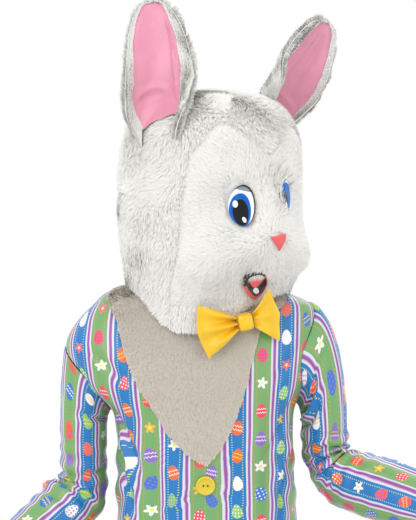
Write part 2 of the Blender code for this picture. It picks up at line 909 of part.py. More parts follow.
def mask_grids():
    """Outer and inner points of the whole mask."""
    half = MASK_COLUMNS // 2
    hems = [hem_level(column_angle(column, 0.5)) for column in range(-half, half)]
    outer, inner = [], []
    for row in range(MASK_ROWS + 1):
        outer.append([])
        inner.append([])
        for column in range(-half, half):
            guess = column_angle(column, CHIN_LEVEL)
            level = mask_level(row, guess, hems[column + half])
            for _ in range(3):
                angle = column_angle(column, level)
                level = mask_level(row, angle, hems[column + half])
            point = mask_point(angle, level)
            outer[-1].append(point)
            inner[-1].append(point - mask_normal(angle, level) * MASK_FUR_WALL)
    crown = len(outer) - 1
    inner[crown] = [outer[crown][0] - Vector((0.0, 0.0, MASK_FUR_WALL))] * MASK_COLUMNS
    return outer, inner


def build_mask(outer, inner):
    half = MASK_COLUMNS // 2
    face, upper, lower = [], [], []
    for row, column in all_cells(MASK_ROWS, MASK_COLUMNS):
        in_face = -FACE_HALF_COLUMNS <= column - half < FACE_HALF_COLUMNS
        if in_face and ROWS_TO_CHIN <= row < ROWS_TO_BROW:
            face.append((row, column))
        elif row < ROWS_TO_BACK_SEAM:
            lower.append((row, column))
        else:
            upper.append((row, column))
    pieces = (("mask_face", face), ("mask_hood_lower", lower), ("mask_hood_upper", upper))
    for name, cells in pieces:
        Wall(outer, inner, cells, closed=True, inset=MASK_SEAM_INSET).build(name, white_fur())


def grid_tree(grid):
    """A search tree over a closed grid of points."""
    points = [point for row in grid for point in row]
    width = len(grid[0])
    polygons = []
    for r in range(len(grid) - 1):
        for c in range(width):
            right = (c + 1) % width
            low, high = r * width, (r + 1) * width
            polygons.append((low + c, low + right, high + right, high + c))
    return BVHTree.FromPolygons(points, polygons)


# Ears

def ear_flat_point(ear, share, across):
    """A point of an ear's outer surface before it is seated, across from -1 to 1."""
    half_width, half_angle, depth = smooth_row(EAR_SHAPE, share)
    twist = ease(0.0, EAR_TWIST_END, share)
    facing = math.radians(mix(ear["base_facing"], ear["tip_facing"], twist))
    ahead = Vector((math.sin(facing), -math.cos(facing), 0.0))
    aside = Vector((math.cos(facing), math.sin(facing), 0.0))
    tip = Vector(ear["tip"])
    spine = Vector((*ear["base"], 0.0)).lerp(Vector((tip.x, tip.y, 0.0)), share)
    bend = math.radians(half_angle)
    radius = max(half_width, 0.0) / math.sin(min(bend, math.pi / 2.0))
    turn = bend * across
    return (
        spine
        + aside * radius * math.sin(turn)
        + ahead * radius * depth * (1.0 - math.cos(turn))
    )


def ear_grids(ear, mask_tree):
    """Outer and inner points of an ear's shell, with its base on the mask."""
    def seat(point):
        above = Vector((point.x, point.y, 1.0))
        hit, normal = mask_tree.ray_cast(above, Vector((0.0, 0.0, -1.0)))[:2]
        return hit.z + ear["seat"] / max(abs(normal.z), 0.3)

    tip_z = ear["tip"][2]
    flat = []
    for row in range(EAR_ROWS + 1):
        share = 1.0 - (1.0 - row / EAR_ROWS) ** 1.35
        line = []
        for column in range(EAR_COLUMNS + 1):
            point = ear_flat_point(ear, share, 2.0 * column / EAR_COLUMNS - 1.0)
            base = ear_flat_point(ear, 0.0, 2.0 * column / EAR_COLUMNS - 1.0)
            point.z = mix(seat(base), tip_z, share)
            line.append(point)
        flat.append(line)
    facing = math.radians(ear["tip_facing"])
    back = Vector((-math.sin(facing), math.cos(facing), 0.0))
    middle = EAR_COLUMNS // 2

    def outward(row, column):
        centre = flat[row][0].lerp(flat[row][EAR_COLUMNS], 0.5)
        away = flat[row][column] - centre
        return away + back * 0.02 if row < EAR_ROWS else back

    normals = normals_of(flat, False, outward)
    normals[EAR_ROWS] = [normals[EAR_ROWS - 1][middle]] * (EAR_COLUMNS + 1)
    inner = []
    for row in range(EAR_ROWS + 1):
        line = []
        for column in range(EAR_COLUMNS + 1):
            away = abs(2.0 * column / EAR_COLUMNS - 1.0)
            tip = ease(0.75, 1.0, row / EAR_ROWS)
            wall = mix(EAR_FUR_WALL, EAR_EDGE_WALL, max(ease(0.6, 1.0, away), tip))
            point = flat[row][column] - normals[row][column] * wall
            if row == 0:
                point.z = seat(point)
            line.append(point)
        inner.append(line)
    return flat, inner


def build_ear(side, mask_tree):
    ear = EARS[side]
    outer, inner = ear_grids(ear, mask_tree)
    cells = all_cells(EAR_ROWS, EAR_COLUMNS)
    Wall(outer, inner, cells, inset=0.0).build(f"ear_{side}_outer", white_fur())

    def inside(row, column):
        return inner[row][column] - outer[row][column]

    normals = normals_of(inner, False, inside)
    first, last = ear["satin"]
    near = round((first + 1.0) / 2.0 * EAR_COLUMNS)
    far = round((last + 1.0) / 2.0 * EAR_COLUMNS)
    back, front = [], []
    for row in range(EAR_ROWS):
        back.append([])
        front.append([])
        for column in range(near, far + 1):
            point, normal = inner[row][column], normals[row][column]
            if row == 0:
                point = point.lerp(inner[1][column], SATIN_LOW_ROW)
            back[-1].append(point + normal * LAID_ON_GAP)
            front[-1].append(point + normal * (LAID_ON_GAP + SATIN_WALL))
    cells = all_cells(len(front) - 1, far - near)
    Wall(front, back, cells).build(f"ear_{side}_inner", pink_satin())


# Face plates

def face_place(aside, up):
    """Angle and level on the mask of a place on the face, measured from the nose."""
    roll = math.radians(FACE_ROLL)
    along = aside * math.cos(roll) - up * math.sin(roll)
    z = NOSE_Z + up * math.cos(roll) + aside * math.sin(roll)
    return math.degrees(along / FACE_RADIUS), level_of_height(z)


def build_plate(
    mask_tree, name, finish, outline, profile, rings=4, steps=24, seat=PLATE_SEAT
):
    """A plate on the face: outline(turn) gives its edge, profile(share) its height above it."""
    outer, inner = [], []
    for ring in range(rings + 1):
        share = ring / rings
        outer.append([])
        inner.append([])
        for step in range(steps):
            centre, edge = outline(2.0 * math.pi * step / steps)
            angle, level = face_place(
                mix(centre[0], edge[0], share), mix(centre[1], edge[1], share)
            )
            point, normal = mask_point(angle, level), mask_normal(angle, level)
            hit = mask_tree.find_nearest(point + normal * seat)[0]
            inner[-1].append(hit + normal * seat)
            outer[-1].append(hit + normal * (seat + profile(share)))
    cells = all_cells(rings, steps)
    return Wall(outer, inner, cells, closed=True, inset=0.0).build(name, finish)


def eye_outline(side):
    turn_sign = turn_of(side)

    def outline(turn):
        lean = math.radians(EYE_LEAN) * turn_sign
        x = EYE_HALF_SIZE[0] * math.cos(turn)
        y = EYE_HALF_SIZE[1] * math.sin(turn)
        centre = (turn_sign * EYE_OFFSET[0], EYE_OFFSET[1])
        edge = (
            centre[0] + x * math.cos(lean) - y * math.sin(lean),
            centre[1] + x * math.sin(lean) + y * math.cos(lean),
        )
        return centre, edge

    return outline


def nose_outline(turn):
    """A soft triangle with its point down."""
    third = 2.0 * math.pi / 3.0
    away = (turn + math.pi / 2.0) % third - third / 2.0
    size = mix(0.5 / math.cos(away), 0.75, NOSE_SOFTNESS)
    return (0.0, 0.0), (
        NOSE_HALF_WIDTH * size * math.cos(turn) / math.cos(math.pi / 6.0),
        NOSE_HEIGHT * size * math.sin(turn) / 1.5,
    )


def mouth_outline(turn):
    """An open smile: broad at the top and drawn to a soft point below."""
    across, up = math.cos(turn), math.sin(turn)
    narrow = 1.0 if up > 0.0 else 1.0 - 0.35 * up * up
    x = MOUTH_HALF_WIDTH * across * narrow
    y = up * (MOUTH_TOP_RISE if up > 0.0 else MOUTH_DEPTH)
    edge = (
        MOUTH_CENTRE[0] + x + MOUTH_SLANT[0] * y,
        MOUTH_CENTRE[1] + y + MOUTH_SLANT[1] * x,
    )
    return MOUTH_CENTRE, edge


def build_face_plates(mask_tree):
    for side in ("right", "left"):
        build_plate(
            mask_tree,
            "eye_" + side,
            eye_print(),
            eye_outline(side),
            lambda share: PLATE_WALL * (1.0 - 0.35 * share**4),
            rings=6,
            seat=EYE_SEATS[side],
        )
    build_plate(
        mask_tree,
        "nose",
        coral(),
        nose_outline,
        lambda share: mix(PLATE_EDGE, NOSE_RISE, math.sqrt(max(1.0 - share**2, 0.0))),
    )
    build_plate(
        mask_tree,
        "mouth",
        coral(),
        mouth_outline,
        lambda share: PLATE_EDGE + LIP_RISE * math.exp(-(((share - 0.84) / 0.12) ** 2)),
        rings=6,
    )


# Bow tie

def bow_frame():
    return (
        Matrix.Translation(Vector(BOW_CENTRE))
        @ Matrix.Rotation(math.radians(BOW_YAW), 4, "Z")
        @ Matrix.Rotation(-math.radians(BOW_TILT), 4, "Y")
    )


def build_bow_wing(side):
    """A folded wing that fans out from the knot in pleats."""
    frame, turn = bow_frame(), turn_of(side)
    rows, columns = 8, 14
    points = []
    for row in range(rows + 1):
        share = row / rows
        reach = BOW_WING_START + BOW_WING_LENGTHS[side] * share
        half = mix(BOW_WING_INNER_HALF, BOW_WING_OUTER_HALF, share**0.9)
        line = []
        for column in range(columns + 1):
            up = 2.0 * column / columns - 1.0
            pleat = math.cos(2.5 * math.pi * up) * BOW_PLEAT_DEPTH * (1.0 - 0.65 * share)
            puff = BOW_PUFF * math.sin(math.pi * min(share * 1.15, 1.0))
            round_end = BOW_ROUND_END * share * (1.0 - abs(up)) * share
            ahead = -pleat - puff - BOW_WING_FORWARD
            local = Vector((turn * (reach + round_end), ahead, half * up))
            line.append(frame @ local)
        points.append(line)
    front = frame.to_3x3() @ Vector((0.0, -1.0, 0.0))
    normals = normals_of(points, False, lambda r, c: front)
    inner = [
        [point - normal * BOW_WALL for point, normal in zip(line, normal_line)]
        for line, normal_line in zip(points, normals)
    ]
    cells = all_cells(rows, columns)
    name = "bow_wing_" + side
    return Wall(points, inner, cells, inset=0.0).build(name, yellow_satin())


def build_bow_knot():
    """The band wrapped round the middle of the bow, as a soft rounded block."""
    frame = bow_frame()
    outer, rings, steps = [], 6, 16
    for ring in range(rings + 1):
        tilt = math.pi * (ring / rings - 0.5)
        line = []
        for step in range(steps):
            turn = 2.0 * math.pi * step / steps
            local = Vector(
                (
                    KNOT_HALF_SIZE[0] * signed_power(math.cos(tilt), 0.5)
                    * signed_power(math.cos(turn), 0.6),
                    KNOT_HALF_SIZE[1] * signed_power(math.cos(tilt), 0.5)
                    * signed_power(math.sin(turn), 0.6),
                    KNOT_HALF_SIZE[2] * signed_power(math.sin(tilt), 0.8),
                )
            )
            line.append(frame @ local)
        outer.append(line)
    vertices = [outer[0][0]] + [p for line in outer[1:-1] for p in line] + [outer[-1][0]]
    polygons = []
    last = len(vertices) - 1
    for step in range(steps):
        right = (step + 1) % steps
        polygons.append([0, 1 + right, 1 + step])
        top = 1 + (rings - 2) * steps
        polygons.append([last, top + step, top + right])
        for ring in range(rings - 2):
            low, high = 1 + ring * steps, 1 + (ring + 1) * steps
            polygons.append([low + step, low + right, high + right, high + step])
    return solid("bow_knot", vertices, polygons, yellow_satin())


# Button

def build_button():
    """A round button with a raised rim and two holes, flat on the centre front."""
    point, normal = body_point(0.0, BUTTON_Z), body_normal(0.0, BUTTON_Z)
    stand = Matrix.Translation(point + normal * BUTTON_SEAT)
    turn = Vector((0.0, 0.0, 1.0)).rotation_difference(normal).to_matrix().to_4x4()
    frame = stand @ turn
    outer_rim = BUTTON_RADIUS - BUTTON_BEVEL
    inner_rim = outer_rim - BUTTON_RIM_WIDTH
    profile = (
        # radius, height
        (0.0, 0.0),
        (BUTTON_RADIUS, 0.0),
        (BUTTON_RADIUS, BUTTON_THICKNESS),
        (outer_rim, BUTTON_THICKNESS + BUTTON_RIM_RISE),
        (inner_rim, BUTTON_THICKNESS + BUTTON_RIM_RISE),
        (inner_rim - BUTTON_BEVEL, BUTTON_THICKNESS),
        (0.0, BUTTON_THICKNESS),
    )
    steps = 24
    vertices, polygons = [Vector((0.0, 0.0, 0.0))], []
    for radius, height in profile[1:-1]:
        for step in range(steps):
            around = 2.0 * math.pi * step / steps
            vertices.append(
                Vector((radius * math.cos(around), radius * math.sin(around), height))
            )
    vertices.append(Vector((0.0, 0.0, profile[-1][1])))
    last = len(vertices) - 1
    loops = len(profile) - 2
    for step in range(steps):
        right = (step + 1) % steps
        polygons.append([0, 1 + right, 1 + step])
        top = 1 + (loops - 1) * steps
        polygons.append([last, top + step, top + right])
        for loop in range(loops - 1):
            low, high = 1 + loop * steps, 1 + (loop + 1) * steps
            polygons.append([low + step, low + right, high + right, high + step])
    button = solid("button", [frame @ v for v in vertices], polygons, yellow_plastic())
    for place in (-1.0, 1.0):
        centre = frame @ Vector((place * BUTTON_HOLE_OFFSET, 0.0, BUTTON_THICKNESS / 2.0))
        bpy.ops.mesh.primitive_cylinder_add(
            vertices=10, radius=BUTTON_HOLE_RADIUS, depth=3.0 * BUTTON_THICKNESS
        )
        cutter = bpy.context.object
        cutter.name = f"button_hole_cutter_{int(place)}"
        cutter.matrix_world = Matrix.Translation(centre) @ turn
        cutter.hide_render = True
        cutter.display_type = "WIRE"
        cut = button.modifiers.new("hole", "BOOLEAN")
        cut.operation = "DIFFERENCE"
        cut.object = cutter
    return button


def main():
    clear_scene()
    sleeves = {side: sleeve_points(side) for side in ("right", "left")}
    armhole_normals = {
        side: armhole_normals_of(side, rings) for side, (rings, _) in sleeves.items()
    }
    for side, (rings, seam_row) in sleeves.items():
        build_front(side, armhole_normals)
        build_sleeve(side, rings, seam_row, armhole_normals)
    build_back(armhole_normals)
    build_chest_panel()
    build_button()
    outer, inner = mask_grids()
    build_mask(outer, inner)
    mask_tree = grid_tree(outer)
    for side in ("right", "left"):
        build_ear(side, mask_tree)
    build_face_plates(mask_tree)
    for side in ("right", "left"):
        build_bow_wing(side)
    build_bow_knot()


main()
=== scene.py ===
"""Easter bunny costume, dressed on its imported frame: printed satin jacket, fur mask, bow tie.

Lengths are metres. The front faces -Y, the wearer's left is +X and the neck is at the origin.
"""

from math import asin, copysign, cos, degrees, exp, hypot, pi, radians, sin, sqrt, tan

import bmesh
import bpy
import numpy as np
from bpy.props import FloatProperty, FloatVectorProperty, IntProperty, PointerProperty
from mathutils import Matrix, Vector, kdtree, noise
from mathutils.bvhtree import BVHTree


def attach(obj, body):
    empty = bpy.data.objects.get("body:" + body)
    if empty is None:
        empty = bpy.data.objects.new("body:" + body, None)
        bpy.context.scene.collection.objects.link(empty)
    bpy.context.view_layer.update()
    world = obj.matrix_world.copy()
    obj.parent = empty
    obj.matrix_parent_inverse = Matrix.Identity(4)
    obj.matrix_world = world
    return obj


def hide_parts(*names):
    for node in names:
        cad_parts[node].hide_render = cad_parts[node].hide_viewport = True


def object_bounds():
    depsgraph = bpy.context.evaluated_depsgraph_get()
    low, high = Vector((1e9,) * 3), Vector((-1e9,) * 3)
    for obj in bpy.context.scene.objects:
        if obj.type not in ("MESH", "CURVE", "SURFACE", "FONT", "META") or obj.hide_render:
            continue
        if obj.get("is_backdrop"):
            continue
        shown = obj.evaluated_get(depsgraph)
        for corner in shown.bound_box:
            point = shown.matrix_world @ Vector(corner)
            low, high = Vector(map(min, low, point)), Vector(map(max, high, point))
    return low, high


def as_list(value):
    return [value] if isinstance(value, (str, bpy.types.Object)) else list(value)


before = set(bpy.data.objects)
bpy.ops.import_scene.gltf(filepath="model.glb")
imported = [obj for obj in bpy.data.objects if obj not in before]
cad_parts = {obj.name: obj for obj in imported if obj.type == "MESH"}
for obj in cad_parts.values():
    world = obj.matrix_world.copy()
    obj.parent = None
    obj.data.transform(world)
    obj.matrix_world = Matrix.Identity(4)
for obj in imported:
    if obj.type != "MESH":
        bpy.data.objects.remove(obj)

bl_info = {
    "name": "Easter Bunny Costume",
    "version": (1, 0, 0),
    "blender": (4, 5, 0),
    "location": "View3D > Sidebar > Costume",
    "description": "Makes a striped satin jacket, a fur rabbit mask and a bow tie",
    "category": "Add Mesh",
}

CAD_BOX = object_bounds()

# Shapes shared with the solids
CHEST_FUR_RISE = 0.003
MASK_FUR_WALL = 0.010
EAR_FUR_WALL = 0.009
EAR_EDGE_WALL = 0.004
SATIN_WALL = 0.0015
PLATE_WALL = 0.0025
LAID_ON_GAP = 0.0004
HEM_Z = -0.68
NECK_Z = 0.036
NECK_POINT_Z = 0.017
V_POINT_Z = -0.263
BODY_POWER = 2.5

# The jacket's horizontal sections: half widths to the wearer's right and left, half depths.
BODY_SECTIONS = (
    # z, right, left, front, back
    (-0.680, 0.176, 0.176, 0.126, 0.124),
    (-0.550, 0.171, 0.171, 0.125, 0.120),
    (-0.400, 0.156, 0.155, 0.122, 0.108),
    (-0.300, 0.152, 0.151, 0.124, 0.106),
    (-0.230, 0.152, 0.149, 0.127, 0.109),
    (-0.190, 0.158, 0.150, 0.128, 0.112),
    (-0.165, 0.178, 0.157, 0.128, 0.113),
    (-0.130, 0.212, 0.172, 0.124, 0.112),
    (-0.080, 0.237, 0.184, 0.116, 0.104),
    (-0.040, 0.222, 0.188, 0.104, 0.094),
    (-0.005, 0.188, 0.176, 0.090, 0.082),
    (0.017, 0.158, 0.128, 0.076, 0.074),
    (0.036, 0.078, 0.076, 0.060, 0.066),
)

# The edge of the V neck, as shares of the half width at each height.
V_EDGE = {
    "right": (
        # z, share
        (-0.263, 0.000),
        (-0.242, 0.216),
        (-0.201, 0.440),
        (-0.144, 0.522),
        (-0.080, 0.565),
        (-0.031, 0.680),
        (0.017, 1.000),
    ),
    "left": (
        (-0.263, 0.000),
        (-0.242, 0.135),
        (-0.193, 0.310),
        (-0.152, 0.374),
        (-0.063, 0.452),
        (-0.020, 0.580),
        (0.017, 1.000),
    ),
}

# Armholes: heights of the armpit and of the shoulder point, and how far the seam bows inwards.
ARMHOLES = {
    "right": {"pit_z": -0.186, "top_z": -0.078, "front_bow": 23.0, "back_bow": 23.0},
    "left": {"pit_z": -0.176, "top_z": -0.002, "front_bow": 31.0, "back_bow": 29.0},
}

# Arms: the sleeve's axis runs down from its start, turns at the elbow and goes out to the cuff.
ARMS = {
    "right": {
        "start": (-0.2080, 0.000, -0.220),
        "elbow": (-0.2080, 0.010, -0.332),
        "forearm": (-0.67, -0.50, -0.557),
        "bend_radius": 0.070,
        "forearm_length": 0.245,
    },
    "left": {
        "start": (0.2020, 0.000, -0.212),
        "elbow": (0.2020, 0.008, -0.294),
        "forearm": (0.75, -0.64, -0.160),
        "bend_radius": 0.062,
        "forearm_length": 0.245,
    },
}

# Sleeve radii from the armhole's end of the straight tube (0) to the cuff (1).
SLEEVE_RADII = (
    # share, across, front to back
    (0.00, 0.0400, 0.0560),
    (0.22, 0.0405, 0.0530),
    (0.36, 0.0490, 0.0500),
    (0.50, 0.0530, 0.0490),
    (0.75, 0.0500, 0.0480),
    (1.00, 0.0450, 0.0450),
)

ELBOW_FOLD_DEPTH = 0.0045
ELBOW_FOLD_LENGTH = 0.030
ELBOW_FOLD_REACH = 0.075
SEAM_PAST_BEND_START = 0.12
DRAPE_DEPTH = 0.0045
PULL_DEPTH = 0.0030
PULL_HEIGHT = (-0.30, 0.07)
SIDE_ROWS = 10
ARMHOLE_ROWS = 8
CENTRE_ROWS = 8
FRONT_ROWS = SIDE_ROWS + ARMHOLE_ROWS
FRONT_COLUMNS = 7
NECK_ROWS = 2
SLEEVE_ROW_LENGTH = 0.0150
MASK_AXIS = (0.010, 0.0)
MASK_YAW = 37.0
MASK_LOWEST_HEM = -0.040
MASK_HEM_CLEARANCE = 0.0041
MASK_BACK_POWER = 2.1

# The mask's horizontal sections from the neck up to the crown, in its own frame.
MASK_SECTIONS = (
    # level, z, half width, front, back, power of the front's curve
    (0.0, -0.045, 0.139, 0.1150, 0.143, 2.10),
    (1.0, -0.008, 0.140, 0.1160, 0.144, 2.05),
    (2.0, 0.030, 0.144, 0.1300, 0.146, 1.90),
    (3.0, 0.070, 0.151, 0.1620, 0.149, 1.75),
    (4.0, 0.107, 0.156, 0.1790, 0.152, 1.68),
    (5.0, 0.150, 0.159, 0.1660, 0.155, 1.72),
    (6.0, 0.195, 0.158, 0.1570, 0.157, 1.85),
    (7.0, 0.240, 0.155, 0.1540, 0.155, 1.95),
    (8.0, 0.282, 0.147, 0.1480, 0.148, 2.00),
    (9.0, 0.320, 0.126, 0.1280, 0.128, 2.00),
    (10.0, 0.347, 0.086, 0.0880, 0.088, 2.00),
    (11.0, 0.358, 0.000, 0.0000, 0.000, 2.00),
)

# Rounded swellings of the face: side angle, height, rise and the reach across and up.
FACE_SWELLINGS = (
    # side, z, rise, reach in degrees, reach in z
    (36.0, 0.068, 0.020, 17.0, 0.040),
    (13.0, 0.090, 0.007, 10.0, 0.024),
    (24.0, 0.205, 0.006, 15.0, 0.020),
    (25.0, 0.166, -0.013, 13.0, 0.040),
    (0.0, 0.160, 0.003, 13.0, 0.040),
)

MASK_COLUMNS = 38
FACE_HALF_COLUMNS = 8
ROWS_TO_CHIN = 3
ROWS_TO_BACK_SEAM = 8
ROWS_TO_BROW = 12
MASK_ROWS = 18

# Where the face panel ends at each side, and the heart shape of its upper edge.
FACE_SIDE_ANGLES = (
    # level, degrees from straight ahead
    (0.0, 62.0),
    (2.0, 62.0),
    (4.0, 57.0),
    (5.3, 54.0),
    (7.2, 49.0),
    (11.0, 49.0),
)

BROW_LEVELS = (
    # degrees from straight ahead, level
    (0.0, 6.95),
    (14.0, 7.85),
    (32.0, 8.30),
    (49.0, 7.20),
    (80.0, 7.30),
    (180.0, 7.60),
)

CHIN_LEVEL = 1.25
NECK_BAND_LEVELS = 0.7

BACK_SEAM_LEVELS = (
    # degrees from straight ahead, level
    (0.0, 5.10),
    (55.0, 5.15),
    (110.0, 5.75),
    (180.0, 5.90),
)

FACE_ROLL = 7.0
FACE_RADIUS = 0.155
NOSE_Z = 0.107

# Ears: the back's middle at the base and the tip, and the way the opening faces there.
EARS = {
    "right": {
        "base": (-0.056, -0.091),
        "base_facing": -34.0,
        "tip": (-0.084, -0.055, 0.502),
        "tip_facing": -8.0,
        "satin": (-0.86, 0.58),
        "seat": 0.0026,
    },
    "left": {
        "base": (0.100, 0.020),
        "base_facing": 60.0,
        "tip": (0.195, 0.035, 0.478),
        "tip_facing": 40.0,
        "satin": (-0.50, 0.86),
        "seat": 0.0021,
    },
}

EAR_TWIST_END = 0.6

EAR_SHAPE = (
    # share of length, half width, half angle of the curled section, depth as a share of width
    (0.00, 0.042, 124.0, 0.55),
    (0.10, 0.050, 116.0, 0.60),
    (0.25, 0.056, 92.0, 0.80),
    (0.45, 0.058, 66.0, 1.00),
    (0.65, 0.053, 52.0, 1.00),
    (0.82, 0.043, 42.0, 1.00),
    (0.93, 0.029, 36.0, 1.00),
    (0.98, 0.016, 32.0, 1.00),
    (1.00, 0.000, 30.0, 1.00),
)

SATIN_LOW_ROW = 0.30
EAR_ROWS = 10
EYE_OFFSET = (0.050, 0.063)
EYE_HALF_SIZE = (0.0220, 0.0350)
EYE_LEAN = 22.0
NOSE_HALF_WIDTH = 0.0235
NOSE_HEIGHT = 0.026
NOSE_SOFTNESS = 0.15
NOSE_RISE = 0.008
MOUTH_CENTRE = (-0.025, -0.062)
MOUTH_HALF_WIDTH = 0.030
MOUTH_DEPTH = 0.034
MOUTH_TOP_RISE = 0.016
MOUTH_SLANT = (-0.20, -0.28)
LIP_RISE = 0.005
PLATE_SEAT = 0.0010
EYE_SEATS = {"right": 0.0018, "left": 0.0013}
PLATE_EDGE = 0.0015
BOW_CENTRE = (0.064, -0.1172, -0.027)
BOW_YAW = 15.0
BOW_TILT = 12.0
BOW_WING_LENGTHS = {"right": 0.058, "left": 0.036}
BOW_WING_INNER_HALF = 0.0125
BOW_WING_OUTER_HALF = 0.0445
BOW_WING_START = 0.0149
BOW_WING_FORWARD = 0.003
BOW_PLEAT_DEPTH = 0.0045
BOW_PUFF = 0.007
BOW_ROUND_END = 0.010
KNOT_HALF_SIZE = (0.0145, 0.0150, 0.0145)
BUTTON_Z = -0.296
BUTTON_THICKNESS = 0.0035
BUTTON_HOLE_RADIUS = 0.0016
BUTTON_HOLE_OFFSET = 0.0035
BUTTON_SEAT = 0.0007

# The print on the satin
PITCH_OF_PRINT = 0.0425
GREEN_FROM_CENTRE = 0.0095
DOT_STEP = 0.0042
DOT_RADIUS = 0.00085
DOT_LINE_FROM_MIDDLE = 0.0098
PRINT_SOFT = 0.0003
MOTIF_STEP = 0.046
MOTIF_STAGGER = 0.41
MOTIF_LEAN = 0.9
EGG_HALF_WIDTH = 0.0092
EGG_HALF_HEIGHT = 0.0122
EGG_LINE_HALF = 0.00075
ZIGZAG_STEP = 0.0022
ZIGZAG_HEIGHT = 0.0042
SPOT_STEP = 0.0056
FLOWER_PETALS = 5.0
FLOWER_RADIUS = 0.0098
FLOWER_EYE = 0.0026
LILAC_HALF = 0.0031
PURPLE_HALF = 0.0020
PALE_YELLOW = (0.80, 0.72, 0.12)
PALE_LILAC = (0.55, 0.33, 0.60)
GREEN_BAND_EGGS = ((0.80, 0.10, 0.015), (0.25, 0.14, 0.50), (0.78, 0.06, 0.10), (0.03, 0.17, 0.55))
BLUE_BAND_EGGS = ((0.85, 0.14, 0.02), (0.25, 0.55, 0.14), (0.84, 0.80, 0.82), (0.80, 0.09, 0.12))
EGG_TRIMS = ((0.85, 0.62, 0.06), (0.84, 0.80, 0.82), (0.28, 0.14, 0.50), (0.80, 0.12, 0.22))
FLOWER_COLORS = ((0.84, 0.80, 0.82), (0.78, 0.13, 0.25), (0.84, 0.80, 0.82), (0.85, 0.45, 0.05))

# Cloth
SCENE_CLOTH_WALL = 0.0012
CLOTH_SINK = 0.0002
SEAM_ROLL_DEPTH = 0.0010
SEAM_ROLL_WIDTH = 0.0030
MEETING_DISTANCE = 0.000002
SHARP_ANGLE = 50.0
TORSO_UNEVEN = 0.0014
CREASE_PULL = 1.1
CREASE_STRENGTH = 1.45
SLEEVE_GIRTH = 0.320
SLEEVE_UNEVEN = 0.0016
ELBOW_GATHER = 0.0038
CAP_DEPTH = 0.120
SATIN_THREADS = (900.0, 260.0)
GRAINS = {
    # scale, detail, depth, strength, painted shade of the hollows
    "backing": (420.0, 2.0, 0.0003, 0.6, 0.86),
    "plastic": (300.0, 3.0, 0.00008, 0.5, 0.85),
    "flock": (900.0, 3.0, 0.0002, 0.6, 0.80),
}

# Length and width over which a panel's cloth is taken to run between its seams.
FRONT_SPANS = (0.70, 0.20)
BACK_SPANS = (0.75, 0.45)

# How far the print is moved on each piece, in bands, and the share of that along the piece.
FRONT_BANDS = {"right": 0.5, "left": 2.5}
BACK_BAND = 20.5
SLEEVE_BANDS = {"right": 40.5, "left": 60.5}
BAND_STAGGER = 0.31
GREEN_AT_SLEEVE = {"right": 0.340, "left": 0.313}

# Folds of the jacket's fronts: distance from the centre front and height at each end.
FRONT_CREASES = (
    # start across, start z, end across, end z, half width, height
    (-0.185, -0.175, -0.112, -0.275, 0.012, -0.0050),
    (-0.168, -0.205, -0.125, -0.310, 0.010, 0.0045),
    (-0.175, -0.250, -0.120, -0.350, 0.010, -0.0040),
    (-0.080, -0.210, -0.085, -0.420, 0.014, -0.0035),
    (-0.045, -0.280, -0.062, -0.480, 0.013, 0.0035),
    (-0.120, -0.330, -0.140, -0.560, 0.016, 0.0045),
    (-0.100, -0.440, -0.085, -0.640, 0.017, -0.0045),
    (0.165, -0.165, 0.112, -0.250, 0.011, -0.0050),
    (0.172, -0.215, 0.118, -0.310, 0.011, 0.0045),
    (0.150, -0.270, 0.125, -0.420, 0.012, -0.0045),
    (0.042, -0.235, 0.030, -0.420, 0.014, -0.0030),
    (0.090, -0.200, 0.080, -0.400, 0.013, 0.0035),
    (0.115, -0.380, 0.130, -0.620, 0.016, -0.0045),
    (0.060, -0.420, 0.070, -0.640, 0.018, 0.0040),
    (0.012, -0.300, 0.075, -0.345, 0.008, 0.0018),
    (-0.012, -0.300, -0.080, -0.350, 0.008, 0.0018),
    (-0.190, -0.080, -0.130, -0.140, 0.012, -0.0025),
    (0.170, -0.060, 0.120, -0.130, 0.012, -0.0025),
)
BACK_CREASES = (
    # start across, start z, end across, end z, half width, height
    (-0.150, -0.150, -0.090, -0.270, 0.014, -0.0045),
    (0.150, -0.150, 0.085, -0.280, 0.014, -0.0045),
    (-0.110, -0.330, -0.100, -0.600, 0.018, 0.0045),
    (-0.040, -0.360, -0.050, -0.640, 0.018, -0.0040),
    (0.030, -0.340, 0.045, -0.620, 0.018, 0.0040),
    (0.110, -0.330, 0.115, -0.610, 0.018, -0.0045),
    (-0.070, -0.060, 0.060, -0.075, 0.016, -0.0020),
)

# Folds of the sleeves: distance round from the underarm and distance down from the cap.
SLEEVE_CREASES = {
    "right": (
        (0.010, -0.050, 0.110, -0.020, 0.009, -0.0035),
        (0.020, 0.060, 0.120, 0.090, 0.008, -0.0035),
        (0.060, 0.095, 0.170, 0.125, 0.007, 0.0040),
        (0.050, 0.120, 0.170, 0.105, 0.006, -0.0040),
        (0.080, 0.135, 0.200, 0.150, 0.007, 0.0035),
        (0.120, -0.040, 0.110, 0.080, 0.012, 0.0025),
        (0.090, 0.190, 0.100, 0.330, 0.010, -0.0030),
        (0.030, 0.200, 0.040, 0.340, 0.011, 0.0030),
    ),
    "left": (
        (0.000, -0.045, 0.092, -0.068, 0.009, -0.0050),
        (0.000, 0.007, 0.086, -0.040, 0.009, -0.0048),
        (0.005, -0.018, 0.070, -0.050, 0.007, 0.0040),
        (0.010, 0.040, 0.090, 0.015, 0.008, 0.0035),
        (0.100, 0.075, 0.020, 0.045, 0.006, -0.0040),
        (0.105, 0.085, 0.020, 0.085, 0.006, 0.0040),
        (0.105, 0.092, 0.030, 0.115, 0.006, -0.0040),
        (0.110, 0.080, 0.190, 0.110, 0.007, 0.0035),
        (0.120, -0.060, 0.110, 0.050, 0.012, 0.0030),
        (0.080, 0.150, 0.090, 0.300, 0.010, -0.0030),
        (0.140, 0.160, 0.130, 0.320, 0.011, 0.0030),
    ),
}

